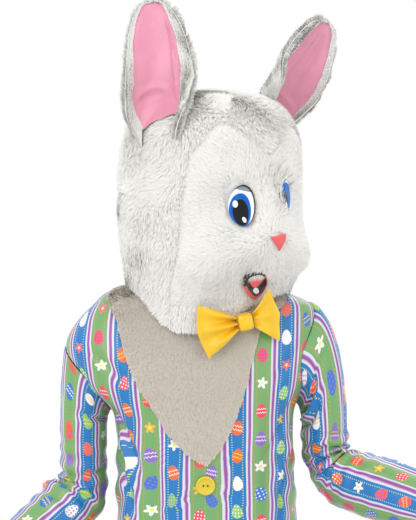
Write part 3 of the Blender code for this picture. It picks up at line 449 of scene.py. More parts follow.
# Furs: height above the backing, lean, and how the strands bunch, in metres and shares.
CHEST_PILE_DEPTH = 0.0032
CHEST_BACKING_WALL = 0.0015
CHEST_PILE = {
    "height": 0.0036, "lean": 1.1, "unruly": 0.30, "wave": 0.030, "tuft": 10,
    "gather": 0.15, "stray": 0.0003, "width": 0.0013, "tilt": 0.20,
}
HOOD_FUR = {
    "height": 0.0056, "lean": 1.6, "unruly": 0.34, "wave": 0.080, "tuft": 12,
    "gather": 0.14, "stray": 0.0008, "width": 0.0021, "tilt": 0.20,
}
FACE_FUR = {
    "height": 0.0056, "lean": 1.6, "unruly": 0.34, "wave": 0.070, "tuft": 12,
    "gather": 0.14, "stray": 0.0008, "width": 0.0019, "tilt": 0.20,
}
EAR_FUR = {
    "height": 0.0076, "lean": 1.15, "unruly": 0.45, "wave": 0.040, "tuft": 12,
    "gather": 0.30, "stray": 0.0009, "width": 0.0016, "tilt": 0.22,
}
EAR_BORDER_FUR = {
    "height": 0.0062, "lean": 0.90, "unruly": 0.55, "wave": 0.030, "tuft": 12,
    "gather": 0.30, "stray": 0.0008, "width": 0.0016, "tilt": 0.22,
}
SEAM_FUR_SHARE = 0.55
SEAM_FUR_REACH = 0.009
MASK_COLUMN_WIDTH = 0.020
FACE_ROW_HEIGHT = 0.016
BACK_ROW_HEIGHT = 0.020

# Which way the mask's fur lies: away from the nose on the face, back and down on the hood.
FACE_FUR_SOURCE = (0.0, -0.02, 0.0)
FACE_FUR_WAY = (0.0, 0.0, -0.30)
HOOD_FUR_MIDDLE = (*MASK_AXIS, 0.15)
HOOD_FUR_SPREAD = 0.25
HOOD_FUR_WAY = (0.10, 0.35, -0.75)
WAVE_COUNT = 6
WAVE_LENGTHS = (0.6, 1.7)
WAVE_SHARE = 0.41
WAVE_TURN = 6.283
MASK_DETAIL = 4

# A strand: its length as a share of full height, its bend, and how far its shading strays.
STRAND_LENGTHS = (0.72, 1.15)
STRAND_BEND_PLACE = 0.42
STRAND_BEND_RISE = 0.20
STRAND_BEND_WIDTH = 0.8
STRAND_BEND_TONE = 0.55
STRAND_SHADING_SPREAD = 0.16
WARM_SHADE = (0.86, 0.80, 0.70)

# Ears
EAR_FINE_ROWS = 44
EAR_FINE_COLUMNS = 56
EAR_ROW_POWER = 1.35
EAR_ROOT_SINK = 0.004
EAR_FUR_SPLAY = 0.9
EAR_BACKING_SHARES = (0.55, 0.85)
EAR_BORDER_OVERLAP = 0.03
EAR_BORDER_TOP = 0.93
LINING_PUFF = 0.0015
LINING_FOLD_REACH = 0.95
LINING_FOLD_RISE = 0.0035
LINING_RIPPLE = 0.0022
LINING_FLAT_SIZE = (0.09, 0.18)
LINING_FOLD_LENGTH = 0.02
EAR_CREASES = {
    "right": (
        # start across, start up, end across, end up, half width, height, in shares
        (0.80, 0.02, 0.86, 0.80, 0.050, 0.0022),
        (0.10, 0.16, 0.62, 0.06, 0.040, 0.0026),
        (0.62, 0.08, 0.85, 0.20, 0.035, -0.0018),
    ),
    "left": (
        (0.25, 0.10, 0.45, 0.85, 0.100, 0.0020),
        (0.60, 0.05, 0.75, 0.80, 0.090, -0.0016),
        (0.20, 0.10, 0.80, 0.04, 0.040, 0.0022),
    ),
}

# Prints on the face plates, in shares of each plate's half width and half height.
EYE_WHITE = (0.86, 0.86, 0.88)
EYE_LID = (0.22, 0.27, 0.31)
EYE_BLACK = (0.012, 0.012, 0.014)
EYE_LID_LEVEL = 0.76
EYE_PRINTS = {
    # each oval's centre and half size
    "right": {
        "white": ((-0.05, -0.03), (0.97, 0.97)),
        "iris": ((-0.09, -0.22), (0.83, 0.86)),
        "pupil": ((-0.02, -0.34), (0.60, 0.67)),
        "large light": ((-0.46, 0.00), (0.22, 0.20)),
        "small light": ((0.24, -0.70), (0.15, 0.13)),
    },
    "left": {
        "white": ((0.05, -0.03), (0.97, 0.97)),
        "iris": ((0.10, -0.15), (0.96, 0.90)),
        "pupil": ((-0.40, -0.25), (0.64, 0.68)),
        "large light": ((-0.28, -0.30), (0.24, 0.15)),
        "small light": ((-0.05, -0.70), (0.10, 0.09)),
    },
}
LIP_START = 0.80
LIP_SLOPE = (0.9, 0.45)
TONGUE = ((-0.06, 0.20), (0.54, 0.58))
MOUTH_WHITE_SPOT = ((0.14, -0.52), (0.30, 0.15))

# Fur that hangs over the plates: above and below each eye, and above the mouth.
FUR_OVER_EYES = {"right": (0.0, 0.003), "left": (0.010, 0.014)}
FUR_OVER_MOUTH = 0.007
LEFT_EYE_SHOWN = 0.72
LONG_FUR_SHARE = 1.9
FUR_CLEAR_OF_PLATES = 1.03
TRIMMED_SHARE = 0.45
TRIMMED_REACH = 0.5

# Bow and button
BOW_SCENE_WALL = 0.0016
BOW_CREASE = 0.0042
BOW_STITCH_DEPTH = 0.0007
BOW_STITCH_FROM_END = 0.004
BOW_STITCH_WIDTH = 0.0012
KNOT_WAIST = 0.10
KNOT_GATHERS = 7.0
KNOT_GATHER_RISE = 0.035
KNOT_POWERS = {"up": 0.5, "round": 0.6, "ends": 0.8}
BUTTON_PROFILE = (
    # radius, height
    (0.0002, 0.0026),
    (0.0080, 0.0028),
    (0.0108, 0.0030),
    (0.0116, 0.0036),
    (0.0124, 0.0044),
    (0.0136, 0.0047),
    (0.0148, 0.0045),
    (0.0157, 0.0038),
    (0.0160, 0.0028),
    (0.0158, 0.0012),
    (0.0152, 0.0005),
)

# Stage
FLOOR_GAP = 0.02
FLOOR_HALF = 1.4
LIGHTS = (
    # name, place, aim, size, power
    ("key light", (-1.7, -2.6, 1.5), (0.0, 0.0, 0.0), 2.6, 40.0),
    ("fill light", (2.2, -2.4, 0.6), (0.0, 0.0, 0.0), 1.8, 10.0),
    ("top light", (0.2, -0.3, 2.6), (0.0, 0.0, 0.0), 1.8, 9.0),
    ("back light", (0.8, 1.9, 1.4), (0.0, 0.0, 0.1), 1.4, 9.0),
)
CAMERA_TARGET = (0.004, 0.0, 0.068)
CAMERA_DISTANCE = 3.2
CAMERA_ANGLE = 15.7
CAMERA_RISE = 3.0
CAMERA_RANGE = 40.0


# Forms of the torso, arms, mask, ears and bow

def smooth_row(rows, key):
    """Every column after the first, read from a smooth curve through the rows."""
    last = len(rows) - 1
    key = min(max(key, rows[0][0]), rows[last][0])
    low = 0
    while low < last - 1 and rows[low + 1][0] <= key:
        low += 1
    span = rows[low + 1][0] - rows[low][0]
    t = (key - rows[low][0]) / span
    values = []
    for column in range(1, len(rows[0])):
        slopes = []
        for index in (low, low + 1):
            before, after = max(index - 1, 0), min(index + 1, last)
            rise = rows[after][column] - rows[before][column]
            slopes.append(rise / (rows[after][0] - rows[before][0]) * span)
        start, end = rows[low][column], rows[low + 1][column]
        values.append(
            (2 * t**3 - 3 * t**2 + 1) * start
            + (t**3 - 2 * t**2 + t) * slopes[0]
            + (3 * t**2 - 2 * t**3) * end
            + (t**3 - t**2) * slopes[1]
        )
    return values


def straight_row(rows, key):
    """The second column, read from straight lines between the rows."""
    if key <= rows[0][0]:
        return rows[0][1]
    for low, high in zip(rows, rows[1:]):
        if key <= high[0]:
            return low[1] + (high[1] - low[1]) * (key - low[0]) / (high[0] - low[0])
    return rows[-1][1]


def mix(start, end, share):
    return start + (end - start) * share


def ease(low, high, value):
    """Rises smoothly from 0 at low to 1 at high."""
    share = min(max((value - low) / (high - low), 0.0), 1.0)
    return share * share * (3.0 - 2.0 * share)


def signed_power(value, power):
    return copysign(abs(value) ** power, value)


def normals_of(points, closed, outward):
    """Surface normals of a grid of points, turned to the side that outward(row, column) gives."""
    last_row, width = len(points) - 1, len(points[0])
    normals = []
    for r, row in enumerate(points):
        line = []
        for c in range(width):
            left = (c - 1) % width if closed else max(c - 1, 0)
            right = (c + 1) % width if closed else min(c + 1, width - 1)
            across = row[right] - row[left]
            along = points[min(r + 1, last_row)][c] - points[max(r - 1, 0)][c]
            normal = across.cross(along)
            if normal.length < 1e-12:
                normal = outward(r, c).copy()
            normal.normalize()
            if normal.dot(outward(r, c)) < 0.0:
                normal.negate()
            line.append(normal)
        normals.append(line)
    return normals


def turn_of(side):
    return -1.0 if side == "right" else 1.0


def body_fold(angle, z):
    """Soft drapes: long waves towards the hem and slanting pulls that start at the button."""
    low = ease(-0.27, -0.42, z)
    drape = DRAPE_DEPTH * low * sin(radians(angle) * 5.0 + 0.9 + 3.0 * z)
    side = ease(25.0, 60.0, abs(angle)) * ease(130.0, 95.0, abs(angle))
    waist = exp(-(((z - PULL_HEIGHT[0]) / PULL_HEIGHT[1]) ** 2))
    pull = PULL_DEPTH * side * waist * sin((z + 0.0012 * abs(angle)) * 105.0)
    return drape + pull


def body_base(angle, z):
    right, left, front, back = smooth_row(BODY_SECTIONS, z)
    across, ahead = sin(radians(angle)), cos(radians(angle))
    width = left if across > 0.0 else right
    depth = front if ahead > 0.0 else back
    power = 2.0 / BODY_POWER
    return Vector(
        (width * signed_power(across, power), -depth * signed_power(ahead, power), z)
    )


def body_normal(angle, z):
    """The outward direction of the torso's surface, angle 0 straight ahead and 90 at the left."""
    turn, step = 1.5, 0.002
    across = body_base(angle + turn, z) - body_base(angle - turn, z)
    high, low = min(z + step, NECK_Z), max(z - step, HEM_Z)
    up = body_base(angle, high) - body_base(angle, low)
    return across.cross(up).normalized()


def body_point(angle, z):
    return body_base(angle, z) + body_normal(angle, z) * body_fold(angle, z)


def side_edge(side, row, bow_name):
    """Angle and height of the side seam and armhole at a row of a front or back panel."""
    hole = ARMHOLES[side]
    if row <= SIDE_ROWS:
        return 90.0, mix(HEM_Z, hole["pit_z"], row / SIDE_ROWS)
    share = (row - SIDE_ROWS) / ARMHOLE_ROWS
    along = (1.0 - cos(pi * share)) / 2.0
    angle = 90.0 - hole[bow_name] * sin(pi * along)
    return angle, mix(hole["pit_z"], hole["top_z"], along)


def centre_edge(side, row):
    """Angle and height of the centre front below the V, then of the V's edge."""
    if row <= CENTRE_ROWS:
        return 0.0, mix(HEM_Z, V_POINT_Z, row / CENTRE_ROWS)
    share = (row - CENTRE_ROWS) / (FRONT_ROWS - CENTRE_ROWS)
    z = mix(V_POINT_Z, NECK_POINT_Z, share)
    across = min(max(smooth_row(V_EDGE[side], z)[0], 0.0), 1.0)
    if row == FRONT_ROWS:
        across = 1.0
    return degrees(asin(across ** (BODY_POWER / 2.0))), z


def back_edge(side, row):
    """Angle and height of the back panel's side: seam, armhole, shoulder and neck point."""
    if row <= FRONT_ROWS:
        return side_edge(side, row, "back_bow")
    top_z = ARMHOLES[side]["top_z"]
    if row <= FRONT_ROWS + FRONT_COLUMNS:
        share = (row - FRONT_ROWS) / FRONT_COLUMNS
        return 90.0, mix(top_z, NECK_POINT_Z, share)
    share = (row - FRONT_ROWS - FRONT_COLUMNS) / NECK_ROWS
    return 90.0, mix(NECK_POINT_Z, NECK_Z, share)


class Arm:
    """The axis of a sleeve: straight down, round the elbow, then straight to the cuff."""

    def __init__(self, side):
        arm = ARMS[side]
        self.start = Vector(arm["start"])
        elbow = Vector(arm["elbow"])
        self.down = (elbow - self.start).normalized()
        self.out = Vector(arm["forearm"]).normalized()
        self.turn = self.down.angle(self.out)
        self.radius = arm["bend_radius"]
        self.hinge = self.down.cross(self.out).normalized()
        cut = self.radius * tan(self.turn / 2.0)
        self.upper_length = (elbow - self.start).length - cut
        self.bend_length = self.radius * self.turn
        self.length = self.upper_length + self.bend_length + arm["forearm_length"] - cut
        self.bend_start = self.start + self.down * self.upper_length
        self.inside = self.hinge.cross(self.down).normalized()
        across = Vector((turn_of(side), 0.0, 0.0))
        self.across = (across - self.down * across.dot(self.down)).normalized()
        ahead = Vector((0.0, -1.0, 0.0))
        self.ahead = (ahead - self.down * ahead.dot(self.down)).normalized()

    def place(self, distance):
        """The axis point, and the rotation from the upper arm's directions to those there."""
        if distance <= self.upper_length:
            return self.start + self.down * distance, Matrix.Identity(3)
        angle = min((distance - self.upper_length) / self.radius, self.turn)
        rotation = Matrix.Rotation(angle, 3, self.hinge)
        middle = self.bend_start + self.inside * self.radius
        point = middle + rotation @ (self.bend_start - middle)
        beyond = distance - self.upper_length - self.bend_length
        if beyond > 0.0:
            point += self.out * beyond
        return point, rotation

    def ring_point(self, distance, share):
        """A point of the sleeve, share 0 at the armpit's side, 0.25 in front, 0.5 outside."""
        centre, rotation = self.place(distance)
        across, depth = smooth_row(SLEEVE_RADII, distance / self.length)
        around = 2.0 * pi * share
        flat = -self.across * cos(around) * across + self.ahead * sin(around) * depth
        direction = flat.normalized()
        size = flat.length + self.fold(distance, direction)
        return centre + rotation @ (direction * size)

    def elbow_distance(self):
        return self.upper_length + self.bend_length / 2.0

    def fold(self, distance, direction):
        """Gathers on the inside of the elbow, which fade round the arm and away from the bend."""
        middle = self.elbow_distance()
        near = exp(-(((distance - middle) / ELBOW_FOLD_REACH) ** 2))
        inside = 0.35 + 0.65 * max(direction.dot(self.inside), 0.0)
        wave = sin(2.0 * pi * (distance - middle) / ELBOW_FOLD_LENGTH)
        return ELBOW_FOLD_DEPTH * near * inside * wave


def halve(low, high, steps, is_low):
    """Both ends of a span, drawn together round the place where is_low stops being true."""
    for _ in range(steps):
        middle = (low + high) / 2.0
        low, high = (middle, high) if is_low(middle) else (low, middle)
    return low, high


def level_of_height(z):
    """The level of the mask's sections that lies at a height."""
    def is_below(level):
        return smooth_row(MASK_SECTIONS, level)[0] < z

    return halve(MASK_SECTIONS[0][0], MASK_SECTIONS[-1][0], 40, is_below)[0]


def face_swelling(angle, z):
    rise = 0.0
    for side, height, amount, reach, spread in FACE_SWELLINGS:
        for centre in (side, -side):
            away = ((angle - centre) / reach) ** 2 + ((z - height) / spread) ** 2
            rise += amount * exp(-away)
    return rise


def mask_point(angle, level):
    """A point of the mask's outer surface, angle 0 straight ahead of the face."""
    angle = (angle + 180.0) % 360.0 - 180.0
    z, width, front, back, front_power = smooth_row(MASK_SECTIONS, level)
    across, ahead = sin(radians(angle)), cos(radians(angle))
    depth, power = (front, front_power) if ahead > 0.0 else (back, MASK_BACK_POWER)
    x = width * signed_power(across, 2.0 / power)
    y = -depth * signed_power(ahead, 2.0 / power)
    size = hypot(x, y)
    if size > 1e-6:
        grow = 1.0 + face_swelling(angle, z) / size
        x, y = x * grow, y * grow
    yaw = radians(MASK_YAW)
    return Vector(
        (
            MASK_AXIS[0] + x * cos(yaw) - y * sin(yaw),
            MASK_AXIS[1] + x * sin(yaw) + y * cos(yaw),
            z,
        )
    )


def mask_normal(angle, level):
    turn, step = 1.0, 0.03
    across = mask_point(angle + turn, level) - mask_point(angle - turn, level)
    high = min(level + step, MASK_SECTIONS[-1][0])
    up = mask_point(angle, high) - mask_point(angle, max(level - step, 0.0))
    normal = across.cross(up)
    if normal.length < 1e-12:
        return Vector((0.0, 0.0, 1.0))
    return normal.normalized()


def body_reach(direction, z):
    """How far the clothed torso reaches from the mask's axis in a level direction."""
    right, left, front, back = smooth_row(BODY_SECTIONS, z)

    def is_inside(away):
        x, y = MASK_AXIS[0] + direction.x * away, MASK_AXIS[1] + direction.y * away
        width = left if x > 0.0 else right
        depth = front if y < 0.0 else back
        return abs(x / width) ** BODY_POWER + abs(y / depth) ** BODY_POWER < 1.0

    return halve(0.0, 0.40, 30, is_inside)[0] + CHEST_FUR_RISE


def hem_level(angle):
    """The lowest level at which the mask's lining is still clear of the torso."""
    axis = Vector((*MASK_AXIS, 0.0))

    def is_too_low(level):
        point = mask_point(angle, level)
        away = Vector((point.x, point.y, 0.0)) - axis
        lining = away.length - MASK_FUR_WALL
        return lining <= body_reach(away.normalized(), point.z) + MASK_HEM_CLEARANCE

    return halve(level_of_height(MASK_LOWEST_HEM), level_of_height(NECK_Z), 30, is_too_low)[1]


def column_angle(column, level):
    """Columns keep to the face panel's side edges, and share out the rest of the way round."""
    edge = smooth_row(FACE_SIDE_ANGLES, level)[0]
    if abs(column) <= FACE_HALF_COLUMNS:
        return edge * column / FACE_HALF_COLUMNS
    rest = (abs(column) - FACE_HALF_COLUMNS) / (MASK_COLUMNS // 2 - FACE_HALF_COLUMNS)
    return copysign(mix(edge, 180.0, rest), column)


def mask_level(row, angle, hem):
    """Rows keep to the chin, the seam at the back and the brow."""
    away = abs(angle)
    brow = smooth_row(BROW_LEVELS, away)[0]
    seam = smooth_row(BACK_SEAM_LEVELS, away)[0]
    top = MASK_SECTIONS[-1][0]
    marks = (
        (0, hem),
        (ROWS_TO_CHIN, max(CHIN_LEVEL, hem + NECK_BAND_LEVELS)),
        (ROWS_TO_BACK_SEAM, seam),
        (ROWS_TO_BROW, brow),
        (MASK_ROWS, top),
    )
    return straight_row(marks, row)


def grid_tree(grid):
    """A search tree over a closed grid of points."""
    points = [point for row in grid for point in row]
    width = len(grid[0])
    polygons = []
    for r in range(len(grid) - 1):
        for c in range(width):
            right = (c + 1) % width
            low, high = r * width, (r + 1) * width
            polygons.append((low + c, low + right, high + right, high + c))
    return BVHTree.FromPolygons(points, polygons)


def ear_flat_point(ear, share, across):
    """A point of an ear's outer surface before it is seated, across from -1 to 1."""
    half_width, half_angle, depth = smooth_row(EAR_SHAPE, share)
    twist = ease(0.0, EAR_TWIST_END, share)
    facing = radians(mix(ear["base_facing"], ear["tip_facing"], twist))
    ahead = Vector((sin(facing), -cos(facing), 0.0))
    aside = Vector((cos(facing), sin(facing), 0.0))
    tip = Vector(ear["tip"])
    spine = Vector((*ear["base"], 0.0)).lerp(Vector((tip.x, tip.y, 0.0)), share)
    bend = radians(half_angle)
    radius = max(half_width, 0.0) / sin(min(bend, pi / 2.0))
    turn = bend * across
    return (
        spine
        + aside * radius * sin(turn)
        + ahead * radius * depth * (1.0 - cos(turn))
    )


def face_place(aside, up):
    """Angle and level on the mask of a place on the face, measured from the nose."""
    roll = radians(FACE_ROLL)
    along = aside * cos(roll) - up * sin(roll)
    z = NOSE_Z + up * cos(roll) + aside * sin(roll)
    return degrees(along / FACE_RADIUS), level_of_height(z)


def eye_outline(side):
    turn_sign = turn_of(side)

    def outline(turn):
        lean = radians(EYE_LEAN) * turn_sign
        x = EYE_HALF_SIZE[0] * cos(turn)
        y = EYE_HALF_SIZE[1] * sin(turn)
        centre = (turn_sign * EYE_OFFSET[0], EYE_OFFSET[1])
        edge = (
            centre[0] + x * cos(lean) - y * sin(lean),
            centre[1] + x * sin(lean) + y * cos(lean),
        )
        return centre, edge

    return outline


def nose_outline(turn):
    """A soft triangle with its point down."""
    third = 2.0 * pi / 3.0
    away = (turn + pi / 2.0) % third - third / 2.0
    size = mix(0.5 / cos(away), 0.75, NOSE_SOFTNESS)
    return (0.0, 0.0), (
        NOSE_HALF_WIDTH * size * cos(turn) / cos(pi / 6.0),
        NOSE_HEIGHT * size * sin(turn) / 1.5,
    )


def mouth_outline(turn):
    """An open smile: broad at the top and drawn to a soft point below."""
    across, up = cos(turn), sin(turn)
    narrow = 1.0 if up > 0.0 else 1.0 - 0.35 * up * up
    x = MOUTH_HALF_WIDTH * across * narrow
    y = up * (MOUTH_TOP_RISE if up > 0.0 else MOUTH_DEPTH)
    edge = (
        MOUTH_CENTRE[0] + x + MOUTH_SLANT[0] * y,
        MOUTH_CENTRE[1] + y + MOUTH_SLANT[1] * x,
    )
    return MOUTH_CENTRE, edge


def bow_frame():
    return (
        Matrix.Translation(Vector(BOW_CENTRE))
        @ Matrix.Rotation(radians(BOW_YAW), 4, "Z")
        @ Matrix.Rotation(-radians(BOW_TILT), 4, "Y")
    )


def mask_places(detail):
    """Row, column, angle and level of each place, with that many steps to a row or column."""
    half = MASK_COLUMNS // 2
    columns = [-half + index / detail for index in range(MASK_COLUMNS * detail)]
    hems = [hem_level(column_angle(column, 0.5)) for column in columns]
    places = []
    for index in range(MASK_ROWS * detail + 1):
        row, line = index / detail, []
        for column, hem in zip(columns, hems):
            level = mask_level(row, column_angle(column, CHIN_LEVEL), hem)
            for _ in range(3):
                angle = column_angle(column, level)
                level = mask_level(row, angle, hem)
            line.append((row, column, angle, level))
        places.append(line)
    return places


def coarse_mask():
    """The mask's surface at the spacing of its solids, which the face plates sit on."""
    return [[mask_point(angle, level) for *_, angle, level in line] for line in mask_places(1)]


# Grids of points and the meshes made from them

def spread(count, edge=0.006):
    """Shares from 0 to 1, with close steps at both ends for the roll of a seam."""
    inside = 1.0 - 6.0 * edge
    middle = [3.0 * edge + inside * index / count for index in range(count + 1)]
    return [0.0, edge] + middle + [1.0 - edge, 1.0]


def seam_rolls(shares, span):
    """How far cloth turns in towards a seam at each end, at those shares of a span's length."""
    away = [min(share, 1.0 - share) * span for share in shares]
    return [-SEAM_ROLL_DEPTH * exp(-((reach / SEAM_ROLL_WIDTH) ** 2)) for reach in away]


def shell(name, outer, inner, uvs, finish, around=False):
    """A closed wall between two grids of points, with a UV map in metres."""
    rows, columns = len(outer) - 1, len(outer[0])
    across = columns if around else columns - 1
    count = (rows + 1) * columns
    vertices = [tuple(point) for grid in (outer, inner) for line in grid for point in line]
    polygons, corners = [], []

    def corner(place, layer):
        return layer * count + place[0] * columns + place[1] % columns

    for r in range(rows):
        for c in range(across):
            ring = ((r, c), (r, c + 1), (r + 1, c + 1), (r + 1, c))
            polygons.append([corner(place, 0) for place in ring])
            polygons.append([corner(place, 1) for place in ring[::-1]])
            corners += ring + ring[::-1]
    edges = [((0, c + 1), (0, c)) for c in range(across)]
    edges += [((rows, c), (rows, c + 1)) for c in range(across)]
    if not around:
        edges += [((r, 0), (r + 1, 0)) for r in range(rows)]
        edges += [((r + 1, columns - 1), (r, columns - 1)) for r in range(rows)]
    for start, end in edges:
        polygons.append([corner(start, 0), corner(end, 0), corner(end, 1), corner(start, 1)])
        corners += (start, end, end, start)
    return cloth_piece(name, vertices, polygons, [uvs[r][c] for r, c in corners], finish)


def cloth_piece(name, vertices, polygons, corner_uvs, finish):
    """A piece with a UV map that follows the polygons' corners in their order."""
    mesh = bpy.data.meshes.new(name)
    mesh.from_pydata(vertices, [], polygons)
    layer = mesh.uv_layers.new(name="Cloth")
    layer.data.foreach_set("uv", [value for uv in corner_uvs for value in uv])
    close_mesh(mesh)
    return piece_of(name, mesh, finish)


def close_mesh(mesh):
    """Joins points that meet, drops faces without area and turns the rest outwards."""
    work = bmesh.new()
    work.from_mesh(mesh)
    bmesh.ops.remove_doubles(work, verts=work.verts, dist=MEETING_DISTANCE)
    bmesh.ops.dissolve_degenerate(work, edges=work.edges, dist=MEETING_DISTANCE)
    bmesh.ops.recalc_face_normals(work, faces=work.faces)
    work.to_mesh(mesh)
    work.free()


def piece_of(name, mesh, finish):
    mesh.materials.append(finish)
    mesh.shade_smooth()
    mesh.set_sharp_from_angle(angle=radians(SHARP_ANGLE))
    return add_object(name, mesh)


def add_object(name, data):
    made = bpy.data.objects.new(name, data)
    bpy.context.scene.collection.objects.link(made)
    return made


def hang(piece, slot, *nodes):
    """The piece rides on the costume and takes the place of its solids."""
    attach(piece, "root")
    if nodes:
        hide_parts(*nodes)


def offset_grid(grid, normals, amount):
    return [
        [point + normal * amount for point, normal in zip(line, normal_line)]
        for line, normal_line in zip(grid, normals)
    ]


def soft_noise(point, size, seed=0.0):
    """A smooth uneven value between about -1 and 1 that changes over that size."""
    return noise.noise(Vector(point) / size + Vector((seed, 1.7 * seed, -seed)))


def creases_at(across, along, creases):
    """Height of the soft ridges and troughs that cross a place on flat cloth."""
    total = 0.0
    for start_x, start_y, end_x, end_y, width, height in creases:
        dx, dy = end_x - start_x, end_y - start_y
        length = hypot(dx, dy)
        share = ((across - start_x) * dx + (along - start_y) * dy) / length**2
        if not -0.3 < share < 1.3:
            continue
        away = ((across - start_x) * dy - (along - start_y) * dx) / length
        away += 0.18 * width * sin(5.0 * share + 40.0 * start_x)
        fade = ease(-0.20, 0.25, share) * ease(1.20, 0.70, share)
        reach = (away / width) ** 2
        total += height * fade * exp(-reach) * cos(1.5 * away / width)
    return total * CREASE_STRENGTH


# Finishes

class Finish:
    """A node material for one cloth, fur or plastic, built up step by step."""

    def __init__(self, name, roughness, **sockets):
        self.made = bpy.data.materials.new(name)
        self.made.use_nodes = True
        self.tree = self.made.node_tree
        self.shader = self.tree.nodes["Principled BSDF"]
        self.shader.inputs["Roughness"].default_value = roughness
        for socket, value in sockets.items():
            self.shader.inputs[socket.replace("_", " ")].default_value = value

    def feed(self, socket, value):
        if isinstance(value, bpy.types.NodeSocket):
            self.tree.links.new(value, socket)
        elif hasattr(value, "__len__"):
            socket.default_value = (*value[:3], 1.0)
        else:
            socket.default_value = value

    def number(self, operation, first, second=0.0, third=0.0):
        node = self.tree.nodes.new("ShaderNodeMath")
        node.operation = operation
        for socket, value in zip(node.inputs, (first, second, third)):
            self.feed(socket, value)
        return node.outputs[0]

    def below(self, value, limit, soft):
        """1 where the value is below the limit and 0 above it, with a narrow soft edge."""
        node = self.tree.nodes.new("ShaderNodeMapRange")
        for name, setting in (
            ("Value", value),
            ("From Min", limit - soft),
            ("From Max", limit + soft),
            ("To Min", 1.0),
            ("To Max", 0.0),
        ):
            self.feed(node.inputs[name], setting)
        return node.outputs[0]

    def times(self, first, second):
        return self.number("MULTIPLY", first, second)

    def minus(self, first, second):
        return self.number("SUBTRACT", first, second)

    def over(self, first, second):
        return self.number("DIVIDE", first, second)

    def size(self, value):
        return self.number("ABSOLUTE", value)

    def squares(self, x, y):
        return self.number("MULTIPLY_ADD", x, x, self.times(y, y))

    def paint(self, under, over, share):
        node = self.tree.nodes.new("ShaderNodeMix")
        node.data_type = "RGBA"
        self.feed(node.inputs[0], share)
        self.feed(node.inputs[6], under)
        self.feed(node.inputs[7], over)
        return node.outputs[2]

    def steps(self, value, colors):
        """One of several colours, by even steps of a value from 0 to 1."""
        node = self.tree.nodes.new("ShaderNodeValToRGB")
        ramp = node.color_ramp
        ramp.interpolation = "CONSTANT"
        while len(ramp.elements) < len(colors):
            ramp.elements.new(0.5)
        for index, color in enumerate(colors):
            ramp.elements[index].position = index / len(colors)
            ramp.elements[index].color = (*color, 1.0)
        self.feed(node.inputs[0], value)
        return node.outputs[0]

    def uv(self, name="Cloth"):
        node = self.tree.nodes.new("ShaderNodeUVMap")
        node.uv_map = name
        split = self.tree.nodes.new("ShaderNodeSeparateXYZ")
        self.tree.links.new(node.outputs[0], split.inputs[0])
        return split.outputs[0], split.outputs[1]

    def vector(self, x, y, z=0.0):
        node = self.tree.nodes.new("ShaderNodeCombineXYZ")
        for socket, value in zip(node.inputs, (x, y, z)):
            self.feed(socket, value)
        return node.outputs[0]

    def cloud(self, scale, detail=2.0, where=None):
        """A smooth random value over the piece."""
        node = self.tree.nodes.new("ShaderNodeTexNoise")
        node.inputs["Scale"].default_value = scale
        node.inputs["Detail"].default_value = detail
        if where is None:
            place = self.tree.nodes.new("ShaderNodeTexCoord")
            where = place.outputs["Object"]
        self.tree.links.new(where, node.inputs["Vector"])
        return node.outputs["Fac"]

    def chance(self, x, y):
        """A random value, the same all over each whole-numbered cell."""
        node = self.tree.nodes.new("ShaderNodeTexWhiteNoise")
        node.noise_dimensions = "2D"
        self.tree.links.new(self.vector(x, y), node.inputs["Vector"])
        return node.outputs["Value"]

    def relief(self, height, distance, strength=1.0):
        node = self.tree.nodes.new("ShaderNodeBump")
        node.inputs["Strength"].default_value = strength
        node.inputs["Distance"].default_value = distance
        self.feed(node.inputs["Height"], height)
        self.tree.links.new(node.outputs[0], self.shader.inputs["Normal"])

    def weave(self, u, v):
        """The fine threads of satin, long along the cloth."""
        place = self.vector(self.times(u, SATIN_THREADS[0]), self.times(v, SATIN_THREADS[1]))
        self.relief(self.cloud(1.0, 3.0, place), 0.00012, 0.5)

    def color(self, value):
        self.feed(self.shader.inputs["Base Color"], value)
        return self.made


